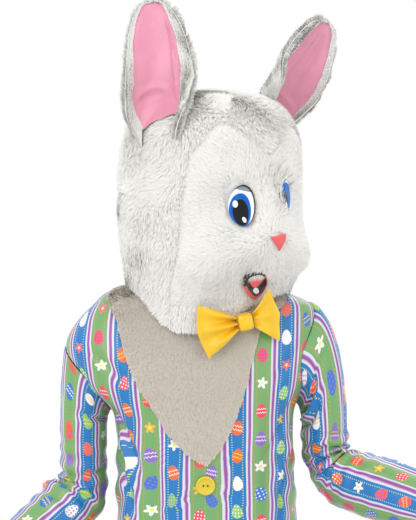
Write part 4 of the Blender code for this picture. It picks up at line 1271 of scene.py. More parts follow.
def striped_satin(settings):
    """Satin printed with green and blue bands, line groups, dotted lines, eggs and flowers."""
    finish = Finish("striped satin", 0.36, Sheen_Weight=0.15, Sheen_Roughness=0.4)
    number, times, minus, over = finish.number, finish.times, finish.minus, finish.over
    size, squares, paint = finish.size, finish.squares, finish.paint
    below, steps = finish.below, finish.steps
    u, v = finish.uv()
    pitch = settings.stripe_pitch
    place = over(u, pitch)
    band = number("FLOOR", place)
    across = times(minus(place, band), pitch)
    across = minus(across, pitch / 2.0)
    away = size(across)
    blue = number("FLOORED_MODULO", band, 2.0)
    color = paint(settings.green, settings.blue, blue)

    stitch = number("FRACT", over(v, DOT_STEP))
    stitch = times(minus(stitch, 0.5), DOT_STEP)
    line = minus(away, DOT_LINE_FROM_MIDDLE)
    radius = number("SQRT", squares(stitch, line))
    dot_color = paint(settings.orange, PALE_YELLOW, blue)
    color = paint(color, dot_color, below(radius, DOT_RADIUS, PRINT_SOFT))

    row = number("MULTIPLY_ADD", band, MOTIF_STAGGER, over(v, MOTIF_STEP))
    cell = number("FLOOR", row)
    along = minus(minus(row, cell), 0.5)
    along = times(along, MOTIF_STEP)
    pick = finish.chance(band, cell)
    tone = finish.chance(cell, number("ADD", band, 0.37))
    lean = times(minus(tone, 0.5), MOTIF_LEAN)
    lean_cos, lean_sin = number("COSINE", lean), number("SINE", lean)
    x = number("MULTIPLY_ADD", across, lean_cos, times(along, lean_sin))
    y = minus(times(along, lean_cos), times(across, lean_sin))

    narrow = number("MULTIPLY_ADD", y, -0.20 / EGG_HALF_HEIGHT, 1.0)
    side = over(x, times(narrow, EGG_HALF_WIDTH))
    up = over(y, EGG_HALF_HEIGHT)
    egg = squares(side, up)
    in_egg = below(egg, 1.0, 0.07)
    egg_color = paint(
        steps(tone, GREEN_BAND_EGGS), steps(tone, BLUE_BAND_EGGS), blue
    )
    trim_color = steps(pick, EGG_TRIMS)
    wave = number("PINGPONG", x, ZIGZAG_STEP)
    zigzag = size(number("ADD", size(y), wave))
    zigzag = size(minus(zigzag, ZIGZAG_HEIGHT))
    zigzag = below(zigzag, EGG_LINE_HALF, PRINT_SOFT)
    cells = []
    for value in (x, y):
        part = number("FRACT", over(value, SPOT_STEP))
        cells.append(minus(part, 0.5))
    spot = squares(*cells)
    spots = below(number("SQRT", spot), 0.24, 0.08)
    trims = paint(zigzag, spots, number("GREATER_THAN", pick, 0.36))
    egg_paint = paint(egg_color, trim_color, trims)

    reach = number("SQRT", squares(x, y))
    turn = times(number("ARCTAN2", y, x), FLOWER_PETALS)
    petal = number("MULTIPLY_ADD", number("COSINE", turn), 0.26, 0.74)
    petal = over(reach, times(petal, FLOWER_RADIUS))
    in_flower = below(petal, 1.0, 0.07)
    flower = steps(tone, FLOWER_COLORS)
    flower = paint(flower, PALE_YELLOW, below(reach, FLOWER_EYE, PRINT_SOFT))
    is_flower = number("GREATER_THAN", pick, 0.70)
    motif = paint(egg_paint, flower, is_flower)
    shape = paint(in_egg, in_flower, is_flower)
    color = paint(color, motif, shape)

    between = minus(away, settings.band_width / 2.0)
    white = below(times(between, -1.0), 0.0, PRINT_SOFT)
    color = paint(color, settings.line_white, white)
    middle = size(minus(away, pitch / 2.0))
    color = paint(color, PALE_LILAC, below(middle, LILAC_HALF, PRINT_SOFT))
    color = paint(color, settings.purple, below(middle, PURPLE_HALF, PRINT_SOFT))

    finish.weave(u, v)
    return finish.color(color)


def satin(name, color, roughness, sheen_patch_scale):
    """Plain glossy satin with a fine weave, and random soft patches of painted shade and painted
    sheen.
    """
    finish = Finish(name, roughness, Sheen_Weight=0.20, Sheen_Roughness=0.35)
    cloud = finish.cloud(sheen_patch_scale, 2.0)
    # Painted light: a darker painted shade and a lighter painted sheen, mixed by a noise over the
    # cloth.
    painted_shade_color = tuple(value * 0.80 for value in color)
    painted_sheen_color = tuple(min(value * 1.08, 1.0) for value in color)
    finish.weave(*finish.uv())
    return finish.color(finish.paint(painted_shade_color, painted_sheen_color, cloud))


def fur_finish(name, color, root_shade):
    """Fur strands: shaded at the root, brighter at the tip, with a soft uneven tone."""
    sheen = {"Sheen_Weight": 0.5, "Sheen_Roughness": 0.5}
    finish = Finish(name, 0.85, Specular_IOR_Level=0.15, **sheen)
    root = tuple(value * root_shade for value in color)
    along = finish.uv("Strand")[1]
    color = finish.paint(root, tuple(color), finish.number("POWER", along, 0.6))
    cloud = finish.cloud(26.0, 3.0)
    warm = finish.paint(color, WARM_SHADE, finish.times(cloud, 0.14))
    return finish.color(warm)


def grained_finish(kind, name, color, roughness, **sockets):
    """Knitted backing, plastic or flock: one colour, with painted shade in the hollows of a fine
    grain.
    """
    scale, detail, depth, strength, shade = GRAINS[kind]
    finish = Finish(name, roughness, **sockets)
    cloud = finish.cloud(scale, detail)
    finish.relief(cloud, depth, strength)
    # Painted shade: the colour darkens where the grain's relief is low.
    painted_shade_color = tuple(value * shade for value in color)
    return finish.color(finish.paint(painted_shade_color, tuple(color), cloud))


def oval(finish, x, y, centre, size, soft=0.06):
    """1 inside an oval place of a plate."""
    aside = finish.over(finish.minus(x, centre[0]), size[0])
    up = finish.over(finish.minus(y, centre[1]), size[1])
    square = finish.squares(aside, up)
    return finish.below(square, 1.0, soft)


def eye_finish(settings, side):
    """A printed eye: white, blue ring, black pupil, two lights and a grey lid."""
    finish = Finish("eye print " + side, 0.30, Specular_IOR_Level=0.12, Coat_Weight=0.08)
    x, y = finish.uv("Plate")
    prints = EYE_PRINTS[side]
    color = finish.paint(EYE_WHITE, EYE_LID, finish.number("GREATER_THAN", y, EYE_LID_LEVEL))
    outline = finish.minus(1.0, oval(finish, x, y, *prints["white"]))
    color = finish.paint(color, EYE_BLACK, outline)
    for part, tone in (
        ("iris", settings.eye_blue),
        ("pupil", EYE_BLACK),
        ("large light", EYE_WHITE),
        ("small light", EYE_WHITE),
    ):
        color = finish.paint(color, tone, oval(finish, x, y, *prints[part]))
    finish.relief(finish.cloud(900.0, 2.0), 0.00003, 0.3)
    return finish.color(color)


def mouth_finish(settings):
    """An open mouth: coral lip, black inside, tongue above and a white spot below."""
    finish = Finish("mouth print", 0.30, Coat_Weight=0.3)
    x, y = finish.uv("Plate")
    share = finish.uv("Ring")[0]
    color = finish.paint(EYE_BLACK, settings.coral, oval(finish, x, y, *TONGUE))
    color = finish.paint(color, EYE_WHITE, oval(finish, x, y, *MOUTH_WHITE_SPOT))
    lip = finish.number("GREATER_THAN", share, LIP_START)
    low = finish.number("LESS_THAN", y, finish.number("MULTIPLY_ADD", x, *LIP_SLOPE))
    lip = finish.times(lip, low)
    color = finish.paint(color, settings.coral, lip)
    finish.relief(finish.cloud(700.0, 2.0), 0.00005, 0.4)
    return finish.color(color)


# Fur

def grid_arrays(*grids):
    return [np.array([[tuple(point) for point in line] for line in grid]) for grid in grids]


def blend_cell(grid, rows, columns, s, t):
    """Values of a grid at places inside its cells."""
    width = grid.shape[1]
    right = (columns + 1) % width
    low = grid[rows, columns] * (1.0 - s) + grid[rows, right] * s
    high = grid[rows + 1, columns] * (1.0 - s) + grid[rows + 1, right] * s
    return low * (1.0 - t) + high * t


def wave_field(points, size, seed):
    """A smooth random direction at each point."""
    random = np.random.default_rng(seed)
    field = np.zeros_like(points)
    for _ in range(WAVE_COUNT):
        heading = random.normal(size=3)
        heading /= np.linalg.norm(heading)
        phase = random.uniform(0.0, WAVE_TURN, 3)
        wave = points @ heading / size * random.uniform(*WAVE_LENGTHS)
        field += np.sin(wave[:, None] * WAVE_TURN + phase) * WAVE_SHARE
    return field


def unit(vectors):
    return vectors / np.maximum(np.linalg.norm(vectors, axis=1, keepdims=True), 1e-9)


def strands(name, outer, normals, cells, count, style, lay, seed, finish, height=None, keep=None):
    """Fur as tapered curved strands that stand on the cells of a grid.

    lay(points) gives the way the fur lies, height the share of full length over the grid, and
    keep(rows, columns, s, t) drops the strands that would cover something.
    """
    random = np.random.default_rng(seed)
    cells = np.array(cells)
    width = outer.shape[1]
    rows, columns = cells[:, 0], cells[:, 1]
    right = (columns + 1) % width
    across = outer[rows, right] - outer[rows, columns]
    along = outer[rows + 1, columns] - outer[rows, columns]
    areas = np.linalg.norm(np.cross(across, along), axis=1)
    chosen = random.choice(len(cells), size=count, p=areas / areas.sum())
    rows, columns = rows[chosen], columns[chosen]
    s, t = random.random((count, 1)), random.random((count, 1))
    if keep is not None:
        kept = keep(rows, columns, s, t)
        rows, columns, s, t = rows[kept], columns[kept], s[kept], t[kept]
    roots = blend_cell(outer, rows, columns, s, t)
    ups = unit(blend_cell(normals, rows, columns, s, t))
    scale = np.ones((len(roots), 1))
    if height is not None:
        scale = blend_cell(height[:, :, None], rows, columns, s, t)
    ways = lay(roots) + wave_field(roots, style["wave"], seed) * style["unruly"]
    ways = ways - ups * np.sum(ways * ups, axis=1, keepdims=True)
    ways = unit(ways)
    tall = style["height"] * scale * random.uniform(*STRAND_LENGTHS, (len(roots), 1))
    tips = roots + ups * tall + ways * tall * style["lean"]

    leaders = random.choice(len(roots), size=max(len(roots) // style["tuft"], 1), replace=False)
    tree = kdtree.KDTree(len(leaders))
    for index, leader in enumerate(leaders):
        tree.insert(roots[leader], index)
    tree.balance()
    nearest = np.array([leaders[tree.find(root)[1]] for root in roots])
    tips = tips * (1.0 - style["gather"]) + tips[nearest] * style["gather"]
    tips += random.normal(size=tips.shape) * style["stray"]

    bend = tips - roots
    middles = roots + bend * STRAND_BEND_PLACE + ups * tall * STRAND_BEND_RISE
    facing = ups + random.normal(size=ups.shape) * style["tilt"]
    sides = unit(np.cross(bend, facing))
    turned = np.sum(np.cross(sides, bend) * ups, axis=1, keepdims=True) < 0.0
    sides = np.where(turned, -sides, sides)
    half = style["width"] / 2.0
    points = np.stack(
        (
            roots - sides * half,
            roots + sides * half,
            middles + sides * half * STRAND_BEND_WIDTH,
            middles - sides * half * STRAND_BEND_WIDTH,
            tips,
        ),
        axis=1,
    )
    total = len(roots)
    pattern = np.array(((0, 1, 2), (0, 2, 3), (3, 2, 4)))
    faces = (np.arange(total)[:, None, None] * 5 + pattern).reshape(-1, 3)
    mesh = bpy.data.meshes.new(name)
    mesh.vertices.add(total * 5)
    mesh.vertices.foreach_set("co", points.astype(np.float32).ravel())
    mesh.loops.add(len(faces) * 3)
    mesh.loops.foreach_set("vertex_index", faces.astype(np.int32).ravel())
    mesh.polygons.add(len(faces))
    mesh.polygons.foreach_set("loop_start", np.arange(0, len(faces) * 3, 3, dtype=np.int32))
    mesh.update(calc_edges=True)
    layer = mesh.uv_layers.new(name="Strand")
    along = np.array((0.0, 0.0, STRAND_BEND_TONE, STRAND_BEND_TONE, 1.0))
    tone = np.repeat(random.random(total), 9)
    layer.data.foreach_set(
        "uv", np.stack((tone, along[faces.ravel() % 5]), axis=1).astype(np.float32).ravel()
    )
    mesh.shade_smooth()
    glow = unit(ups + random.normal(size=ups.shape) * STRAND_SHADING_SPREAD)
    mesh.normals_split_custom_set_from_vertices(np.repeat(glow, 5, axis=0).tolist())
    mesh.materials.append(finish)
    return add_object(name, mesh)


# Torso

def girth_table():
    """Distances round the torso from its centre front or back, by quarter and height."""
    heights = np.linspace(HEM_Z, NECK_Z, 60)
    angles = np.linspace(0.0, 90.0, 46)
    table = {}
    for side in ("right", "left"):
        for back in (False, True):
            rows = []
            for z in heights:
                around = [180.0 - a if back else a for a in angles]
                points = [body_base(turn_of(side) * a, float(z)) for a in around]
                lengths = [0.0]
                for before, after in zip(points, points[1:]):
                    lengths.append(lengths[-1] + (after - before).length)
                rows.append(lengths)
            table[(side, back)] = np.array(rows)
    return heights, angles, table


GIRTHS = girth_table()


def girth(angle, z):
    """Signed distance from the centre front, or from the centre back behind the side seams."""
    heights, angles, table = GIRTHS
    angle = (angle + 180.0) % 360.0 - 180.0
    side = "left" if angle >= 0.0 else "right"
    back = abs(angle) > 90.0001
    rows = table[(side, back)]
    place = (z - heights[0]) / (heights[1] - heights[0])
    low = int(min(max(place, 0.0), len(heights) - 1.001))
    share = min(max(place - low, 0.0), 1.0)
    line = rows[low] * (1.0 - share) + rows[low + 1] * share
    away = 180.0 - abs(angle) if back else abs(angle)
    return copysign(float(np.interp(away, angles, line)), angle)


def torso_grid(places, creases, rise, row_rolls, column_rolls):
    """Points, normals and cloth places of a torso panel from its angles and heights."""
    points, normals, flat = [], [], []
    for line, row_roll in zip(places, row_rolls):
        for grid in (points, normals, flat):
            grid.append([])
        for (angle, z), column_roll in zip(line, column_rolls):
            normal = body_normal(angle, z)
            u = girth(angle, z)
            fold = creases_at(u, z, creases)
            base = body_point(angle, z)
            fold += TORSO_UNEVEN * soft_noise(base, 0.055)
            points[-1].append(base + normal * (rise + fold + (row_roll + column_roll)))
            normals[-1].append(normal)
            flat[-1].append((u + fold * CREASE_PULL, z))
    return points, normals, flat


def build_jacket_cloth(part, places, creases, shares, spans, shift, finish, mirror=False):
    """A jacket panel, with the print's bands moved to where the maker laid them."""
    rolls = [seam_rolls(line, span) for line, span in zip(shares, spans)]
    points, normals, flat = torso_grid(places, creases, -CLOTH_SINK, *rolls)
    uvs = [
        [((-u if mirror else u) + shift, v + shift * BAND_STAGGER) for u, v in line]
        for line in flat
    ]
    inner = offset_grid(points, normals, -SCENE_CLOTH_WALL)
    place, _, side = part.partition("_")
    name = "_".join(word for word in ("jacket", place, "cloth", side) if word)
    piece = shell(name, points, inner, uvs, finish)
    hang(piece, "striped_satin", "jacket_" + part)
    return piece


def build_front(side, finish):
    turn = turn_of(side)
    rows, columns = spread(104, 0.003), spread(26)
    places = []
    for row_share in rows:
        row = row_share * FRONT_ROWS
        centre_angle, centre_z = centre_edge(side, row)
        side_angle, side_z = side_edge(side, row, "front_bow")
        places.append(
            [
                (turn * mix(centre_angle, side_angle, c), mix(centre_z, side_z, c))
                for c in columns
            ]
        )
    shift = PITCH_OF_PRINT * FRONT_BANDS[side] - GREEN_FROM_CENTRE
    return build_jacket_cloth(
        "front_" + side, places, FRONT_CREASES, (rows, columns), FRONT_SPANS, shift, finish,
        mirror=side == "right",
    )


def build_back(finish):
    rows, columns = spread(120, 0.003), spread(52, 0.004)
    places = []
    for row_share in rows:
        row = row_share * (FRONT_ROWS + FRONT_COLUMNS + NECK_ROWS)
        right_angle, right_z = back_edge("right", row)
        left_angle, left_z = back_edge("left", row)
        start, end = right_angle - 180.0, -180.0 - left_angle
        places.append([(mix(start, end, c), mix(right_z, left_z, c)) for c in columns])
    shift = PITCH_OF_PRINT * BACK_BAND
    return build_jacket_cloth(
        "back", places, BACK_CREASES, (rows, columns), BACK_SPANS, shift, finish
    )


def build_chest(settings, finish, backing):
    """The fur panel in the V: a backing sheet and its short pile."""
    v_rows = FRONT_ROWS - CENTRE_ROWS
    rows, columns = spread(48, 0.006), spread(28, 0.006)
    places = []
    for row_share in rows:
        row = row_share * (v_rows + NECK_ROWS)
        if row <= v_rows:
            right_angle, z = centre_edge("right", CENTRE_ROWS + row)
            left_angle = centre_edge("left", CENTRE_ROWS + row)[0]
        else:
            right_angle = left_angle = 90.0
            z = mix(NECK_POINT_Z, NECK_Z, (row - v_rows) / NECK_ROWS)
        places.append([(mix(-right_angle, left_angle, c), z) for c in columns])
    rise = CHEST_FUR_RISE - CHEST_PILE_DEPTH
    flat_edges = [0.0] * len(rows), [0.0] * len(columns)
    points, normals, flat = torso_grid(places, (), rise, *flat_edges)
    inner = offset_grid(points, normals, -CHEST_BACKING_WALL)
    skin = shell("chest_panel_backing", points, inner, flat, backing)
    hang(skin, "cream_fur", "chest_panel")
    outer, ups = grid_arrays(points, normals)
    cells = [(r, c) for r in range(len(rows) - 1) for c in range(len(columns) - 1)]

    def downwards(roots):
        return np.tile((0.0, 0.0, -1.0), (len(roots), 1))

    pile = strands(
        "chest_panel_pile", outer, ups, cells, strand_count(settings.chest_strands),
        CHEST_PILE, downwards, 11, finish,
    )
    hang(pile, "cream_fur")
    return skin, pile


def strand_count(full):
    return full


# Sleeves

def armhole_place(side, share):
    """Angle and height on the torso at a share of the way round the armhole."""
    turn = turn_of(side)
    if share <= 0.5:
        row = SIDE_ROWS + 2.0 * share * ARMHOLE_ROWS
        angle, z = side_edge(side, row, "front_bow")
        return turn * angle, z
    row = FRONT_ROWS - (2.0 * share - 1.0) * ARMHOLE_ROWS
    angle, z = side_edge(side, row, "back_bow")
    return turn * (180.0 - angle), z


def sleeve_ring(side, arm, cap, distance, shares):
    """Points round a sleeve, in its cap where cap is below 1 and on its tube otherwise."""
    ring = []
    for share in shares:
        end = arm.ring_point(max(distance, 0.0), share)
        if cap < 1.0:
            start = body_point(*armhole_place(side, share))
            turn = cap * pi / 2.0
            end = Vector(
                (
                    mix(start.x, end.x, sin(turn)),
                    mix(start.y, end.y, sin(turn)),
                    mix(start.z, end.z, 1.0 - cos(turn)),
                )
            )
        ring.append(end)
    return ring


def build_sleeve(side, finish):
    """The upper and lower sleeve, joined by the cross seam above the elbow."""
    arm = Arm(side)
    tube_rows = round(arm.length / SLEEVE_ROW_LENGTH)
    bend_start = arm.upper_length + SEAM_PAST_BEND_START * arm.bend_length
    seam = arm.length * round(bend_start / SLEEVE_ROW_LENGTH) / tube_rows
    count = 72
    shares = [index / count for index in range(count)]
    upper = [(share, -(1.0 - share) * CAP_DEPTH) for share in spread(24, 0.010)[:-1]]
    tube = [seam * share for share in spread(20, 0.012)[1:]]
    upper += [(1.0, 0.0)] + [(1.0, distance) for distance in tube]
    lower = [(1.0, mix(seam, arm.length, share)) for share in spread(64, 0.006)]
    pieces = []
    for part, rows in (("upper", upper), ("lower", lower)):
        rings = [sleeve_ring(side, arm, cap, distance, shares) for cap, distance in rows]
        centres = [sum(ring, Vector()) / count for ring in rings]
        normals = normals_of(rings, True, lambda r, c: rings[r][c] - centres[r])
        first, last = rows[0][1], rows[-1][1]
        points, uvs = [], []
        for r, (cap, distance) in enumerate(rows):
            line, flat = [], []
            for c in range(count + 1):
                share = c / count
                across = share * SLEEVE_GIRTH
                fold = creases_at(across, distance, SLEEVE_CREASES[side])
                base = rings[r][c % count]
                fold += SLEEVE_UNEVEN * soft_noise(base, 0.035, 3.0)
                near = exp(-(((distance - arm.elbow_distance()) / 0.05) ** 2))
                fold += ELBOW_GATHER * near * soft_noise(base, 0.014, 8.0)
                fade = ease(0.0, 0.010, distance - first) * ease(0.0, 0.010, last - distance)
                fold = fold * fade - SEAM_ROLL_DEPTH * (1.0 - fade)
                if c < count:
                    line.append(base + normals[r][c] * (fold - CLOTH_SINK))
                shift = (share - GREEN_AT_SLEEVE[side]) * SLEEVE_GIRTH
                shift += SLEEVE_BANDS[side] * PITCH_OF_PRINT
                flat.append((shift + fold * CREASE_PULL, -distance))
            points.append(line)
            uvs.append(flat)
        inner = offset_grid(points, normals, -SCENE_CLOTH_WALL)
        name = f"sleeve_cloth_{side}_{part}"
        piece = shell(name, points, inner, uvs, finish, around=True)
        hang(piece, "striped_satin", f"sleeve_{side}_{part}")
        pieces.append(piece)
    return pieces


# Mask

def mask_surface():
    """Fine rows and columns of the whole mask: points, normals, face places and seam fades."""
    points, normals, places, fades = [], [], [], []
    for line in mask_places(MASK_DETAIL):
        points.append([mask_point(angle, level) for *_, angle, level in line])
        normals.append([mask_normal(angle, level) for *_, angle, level in line])
        places.append([face_measure(spot[2], point.z) for spot, point in zip(line, points[-1])])
        fades.append([seam_fade(row, column) for row, column, *_ in line])
    normals[-1] = [Vector((0.0, 0.0, 1.0))] * len(normals[-1])
    return points, normals, places, fades


def face_measure(angle, z):
    """How far aside of the nose and above it a place of the mask lies."""
    roll = radians(FACE_ROLL)
    along, up = radians(angle) * FACE_RADIUS, z - NOSE_Z
    return (
        along * cos(roll) + up * sin(roll),
        -along * sin(roll) + up * cos(roll),
        0.0,
    )


def seam_fade(row, column):
    """Fur is shorter beside the mask's seams: the share of full height there."""
    in_columns = abs(column) <= FACE_HALF_COLUMNS
    away = [abs(row - ROWS_TO_BROW) * FACE_ROW_HEIGHT if in_columns else 1.0]
    if row <= ROWS_TO_BROW:
        away.append(abs(abs(column) - FACE_HALF_COLUMNS) * MASK_COLUMN_WIDTH)
    if abs(column) >= FACE_HALF_COLUMNS:
        away.append(abs(row - ROWS_TO_BACK_SEAM) * BACK_ROW_HEIGHT)
    if in_columns and ROWS_TO_CHIN <= row <= ROWS_TO_BROW:
        away.append((row - ROWS_TO_CHIN) * FACE_ROW_HEIGHT)
    return mix(SEAM_FUR_SHARE, 1.0, ease(0.0, SEAM_FUR_REACH, min(away)))


def face_plate_near(places):
    """How near roots lie to the eyes, nose and mouth: below 1 is under a plate."""
    aside, up = places[:, 0], places[:, 1]
    near = np.full(len(places), 9.0)
    ovals = []
    for side, (above, below) in FUR_OVER_EYES.items():
        middle = (turn_of(side) * EYE_OFFSET[0], EYE_OFFSET[1] + (below - above) / 2.0)
        wide = EYE_HALF_SIZE[0] * (LEFT_EYE_SHOWN if side == "left" else 1.0)
        ovals.append((middle, (wide, EYE_HALF_SIZE[1] - (below + above) / 2.0)))
    ovals.append(((0.0, 0.0), (NOSE_HALF_WIDTH, NOSE_HEIGHT * 0.55)))
    mouth_half = (MOUTH_DEPTH + MOUTH_TOP_RISE - FUR_OVER_MOUTH) / 2.0
    middle = (MOUTH_CENTRE[0], MOUTH_CENTRE[1] + mouth_half - MOUTH_DEPTH)
    ovals.append((middle, (MOUTH_HALF_WIDTH * 0.92, mouth_half)))
    for centre, size in ovals:
        x, y = (aside - centre[0]) / size[0], (up - centre[1]) / size[1]
        near = np.minimum(near, np.sqrt(x * x + y * y))
    return near


def over_plates(seats):
    """Where long fur grows over the rim of the left eye and the top of the mouth."""
    x = (seats[:, :, 0] - EYE_OFFSET[0]) / EYE_HALF_SIZE[0]
    y = (seats[:, :, 1] - EYE_OFFSET[1]) / EYE_HALF_SIZE[1]
    reach = np.where(x < 0.3, 2.0, 1.0)
    aside = abs(seats[:, :, 0] - MOUTH_CENTRE[0]) < MOUTH_HALF_WIDTH * 0.8
    up = seats[:, :, 1] - MOUTH_CENTRE[1] - MOUTH_TOP_RISE
    above_mouth = (up > -FUR_OVER_MOUTH) & (up < 2.0 * FUR_OVER_MOUTH)
    return (x * x + y * y < reach) | (aside & above_mouth)


def build_mask(settings, fur, backing, surface):
    """The face and the two pieces of the hood, each a backing with its fur."""
    points, normals, places, fades = surface
    half = MASK_COLUMNS // 2 * MASK_DETAIL
    face_half = FACE_HALF_COLUMNS * MASK_DETAIL
    sink = [[-settings.fur_depth - 0.002 * (1.0 - fade) for fade in line] for line in fades]
    skin = [
        [point + normal * depth for point, normal, depth in zip(*lines)]
        for lines in zip(points, normals, sink)
    ]
    lining = offset_grid(points, normals, -MASK_FUR_WALL)
    outer, ups, seats = grid_arrays(skin, normals, places)
    height = np.array(fades)
    uvs = [
        [(place[0], place[1]) for place in line] + [(line[0][0], line[0][1])] for line in places
    ]
    cells = {"face": [], "hood_lower": [], "hood_upper": []}
    for r in range(MASK_ROWS * MASK_DETAIL):
        for c in range(MASK_COLUMNS * MASK_DETAIL):
            row = r / MASK_DETAIL
            in_face = -face_half <= c - half < face_half
            if in_face and ROWS_TO_CHIN <= row < ROWS_TO_BROW:
                cells["face"].append((r, c))
            elif row < ROWS_TO_BACK_SEAM:
                cells["hood_lower"].append((r, c))
            else:
                cells["hood_upper"].append((r, c))

    nose = np.array(tuple(mask_point(0.0, level_of_height(NOSE_Z))))

    def hood_lay(roots):
        return unit(roots - np.array(HOOD_FUR_MIDDLE)) * HOOD_FUR_SPREAD + np.array(HOOD_FUR_WAY)

    def face_lay(roots):
        return unit(roots - nose - np.array(FACE_FUR_SOURCE)) + np.array(FACE_FUR_WAY)

    def face_keep(rows, columns, s, t):
        near = face_plate_near(blend_cell(seats, rows, columns, s, t))
        return near > FUR_CLEAR_OF_PLATES

    plate_near = face_plate_near(seats.reshape(-1, 3)).reshape(height.shape)
    grown = TRIMMED_SHARE + (1.0 - TRIMMED_SHARE) * (plate_near - 1.0) / TRIMMED_REACH
    trimmed = height * np.clip(grown, TRIMMED_SHARE, 1.0)
    trimmed = np.where(over_plates(seats), LONG_FUR_SHARE, trimmed)
    pieces = []
    for seed, (part, part_cells) in enumerate(cells.items()):
        on_face = part == "face"
        piece = patch(f"mask_{part}_backing", skin, lining, uvs, part_cells, backing)
        hang(piece, "white_fur", f"mask_{part}")
        coat = strands(
            f"mask_{part}_fur", outer, ups, part_cells, strand_count(settings.mask_strands),
            FACE_FUR if on_face else HOOD_FUR, face_lay if on_face else hood_lay, 21 + seed,
            fur, trimmed if on_face else height, face_keep if on_face else None,
        )
        hang(coat, "white_fur")
        pieces += [piece, coat]
    return pieces


def patch(name, outer, inner, uvs, cells, finish):
    """A closed wall over some cells of a grid that goes all the way round."""
    width = len(outer[0])
    index_of, vertices, polygons, corners = {}, [], [], []

    def corner(place, layer):
        key = (place[0], place[1] % width, layer)
        if key not in index_of:
            index_of[key] = len(vertices)
            vertices.append(tuple((outer, inner)[layer][key[0]][key[1]]))
        return index_of[key]

    edges = {}
    for r, c in cells:
        ring = ((r, c), (r, c + 1), (r + 1, c + 1), (r + 1, c))
        polygons.append([corner(place, 0) for place in ring])
        polygons.append([corner(place, 1) for place in ring[::-1]])
        corners += ring + ring[::-1]
        for start, end in zip(ring, ring[1:] + ring[:1]):
            edges[(corner(start, 0), corner(end, 0))] = (start, end)
    for (a, b), (start, end) in edges.items():
        if (b, a) not in edges:
            polygons.append([b, a, corner(start, 1), corner(end, 1)])
            corners += (end, start, start, end)
    return cloth_piece(name, vertices, polygons, [uvs[r][c] for r, c in corners], finish)


# Ears

def height_on_mask(mask_tree, point, rise):
    """The height at which a point stands above the mask by a rise."""
    above = Vector((point.x, point.y, 1.0))
    hit, normal = mask_tree.ray_cast(above, Vector((0.0, 0.0, -1.0)))[:2]
    return hit.z + rise / max(abs(normal.z), 0.3)


def ear_surface(side, mask_tree):
    """Outer points, outer normals and wall depths of an ear's shell."""
    ear = EARS[side]

    def seat(point):
        return height_on_mask(mask_tree, point, ear["seat"]) - EAR_ROOT_SINK

    flat = []
    for row in range(EAR_FINE_ROWS + 1):
        share = 1.0 - (1.0 - row / EAR_FINE_ROWS) ** EAR_ROW_POWER
        line = []
        for column in range(EAR_FINE_COLUMNS + 1):
            across = 2.0 * column / EAR_FINE_COLUMNS - 1.0
            point = ear_flat_point(ear, share, across)
            point.z = mix(seat(ear_flat_point(ear, 0.0, across)), ear["tip"][2], share)
            line.append(point)
        flat.append(line)
    facing = radians(ear["tip_facing"])
    back = Vector((-sin(facing), cos(facing), 0.0))

    def outward(row, column):
        centre = flat[row][0].lerp(flat[row][-1], 0.5)
        return flat[row][column] - centre + back * 0.02 if row < EAR_FINE_ROWS else back

    normals = normals_of(flat, False, outward)
    normals[-1] = [normals[-2][EAR_FINE_COLUMNS // 2]] * (EAR_FINE_COLUMNS + 1)
    walls = []
    for row in range(EAR_FINE_ROWS + 1):
        tip = ease(0.75, 1.0, row / EAR_FINE_ROWS)
        line = []
        for column in range(EAR_FINE_COLUMNS + 1):
            away = abs(2.0 * column / EAR_FINE_COLUMNS - 1.0)
            line.append(mix(EAR_FUR_WALL, EAR_EDGE_WALL, max(ease(0.6, 1.0, away), tip)))
        walls.append(line)
    return flat, normals, walls


def build_ear(side, settings, fur, backing, lining, mask_tree):
    """An ear: its backing, the fur outside and along the border, and the satin inside."""
    flat, normals, walls = ear_surface(side, mask_tree)
    lines = list(zip(flat, normals, walls))
    outer, inner = (
        [[p - n * w * share for p, n, w in zip(*line)] for line in lines]
        for share in EAR_BACKING_SHARES
    )
    rows, columns = EAR_FINE_ROWS, EAR_FINE_COLUMNS
    uvs = [[(c * 0.002, r * 0.006) for c in range(columns + 1)] for r in range(rows + 1)]
    skin = shell(f"ear_backing_{side}", outer, inner, uvs, backing)
    hang(skin, "white_fur", f"ear_{side}_outer")
    ear = EARS[side]
    first, last = ear["satin"]
    cells = [(r, c) for r in range(rows) for c in range(columns)]
    tip = np.array(ear["tip"])
    spine = np.mean([tuple(p) for p in flat[EAR_FINE_ROWS // 4]], axis=0)

    def upwards(roots):
        share = ((roots[:, 2:] - spine[2]) / (tip[2] - spine[2])).clip(-0.3, 1.0)
        aside = roots - (spine + (tip - spine) * share)
        aside[:, 2] = 0.0
        splay = unit(aside + 1e-6) * EAR_FUR_SPLAY
        return unit(tip - roots) * 0.8 + splay + np.array((0.0, 0.0, 0.15))

    points, ups = grid_arrays(outer, normals)
    half = strand_count(settings.ear_strands)
    coat = strands(f"ear_fur_{side}", points, ups, cells, half, EAR_FUR, upwards, 41, fur)
    hang(coat, "white_fur")
    border = []
    for r, c in cells:
        across = 2.0 * (c + 0.5) / columns - 1.0
        over_satin = first + EAR_BORDER_OVERLAP < across < last - EAR_BORDER_OVERLAP
        if not (over_satin and r < rows * EAR_BORDER_TOP):
            border.append((r, c))
    points, ups = grid_arrays(inner, [[-n for n in line] for line in normals])
    edge = strands(
        f"ear_border_fur_{side}", points, ups, border, half // 2, EAR_BORDER_FUR, upwards, 43, fur
    )
    hang(edge, "white_fur")

    satin_piece = build_ear_lining(side, (flat, normals, walls), mask_tree, lining)
    return skin, coat, edge, satin_piece


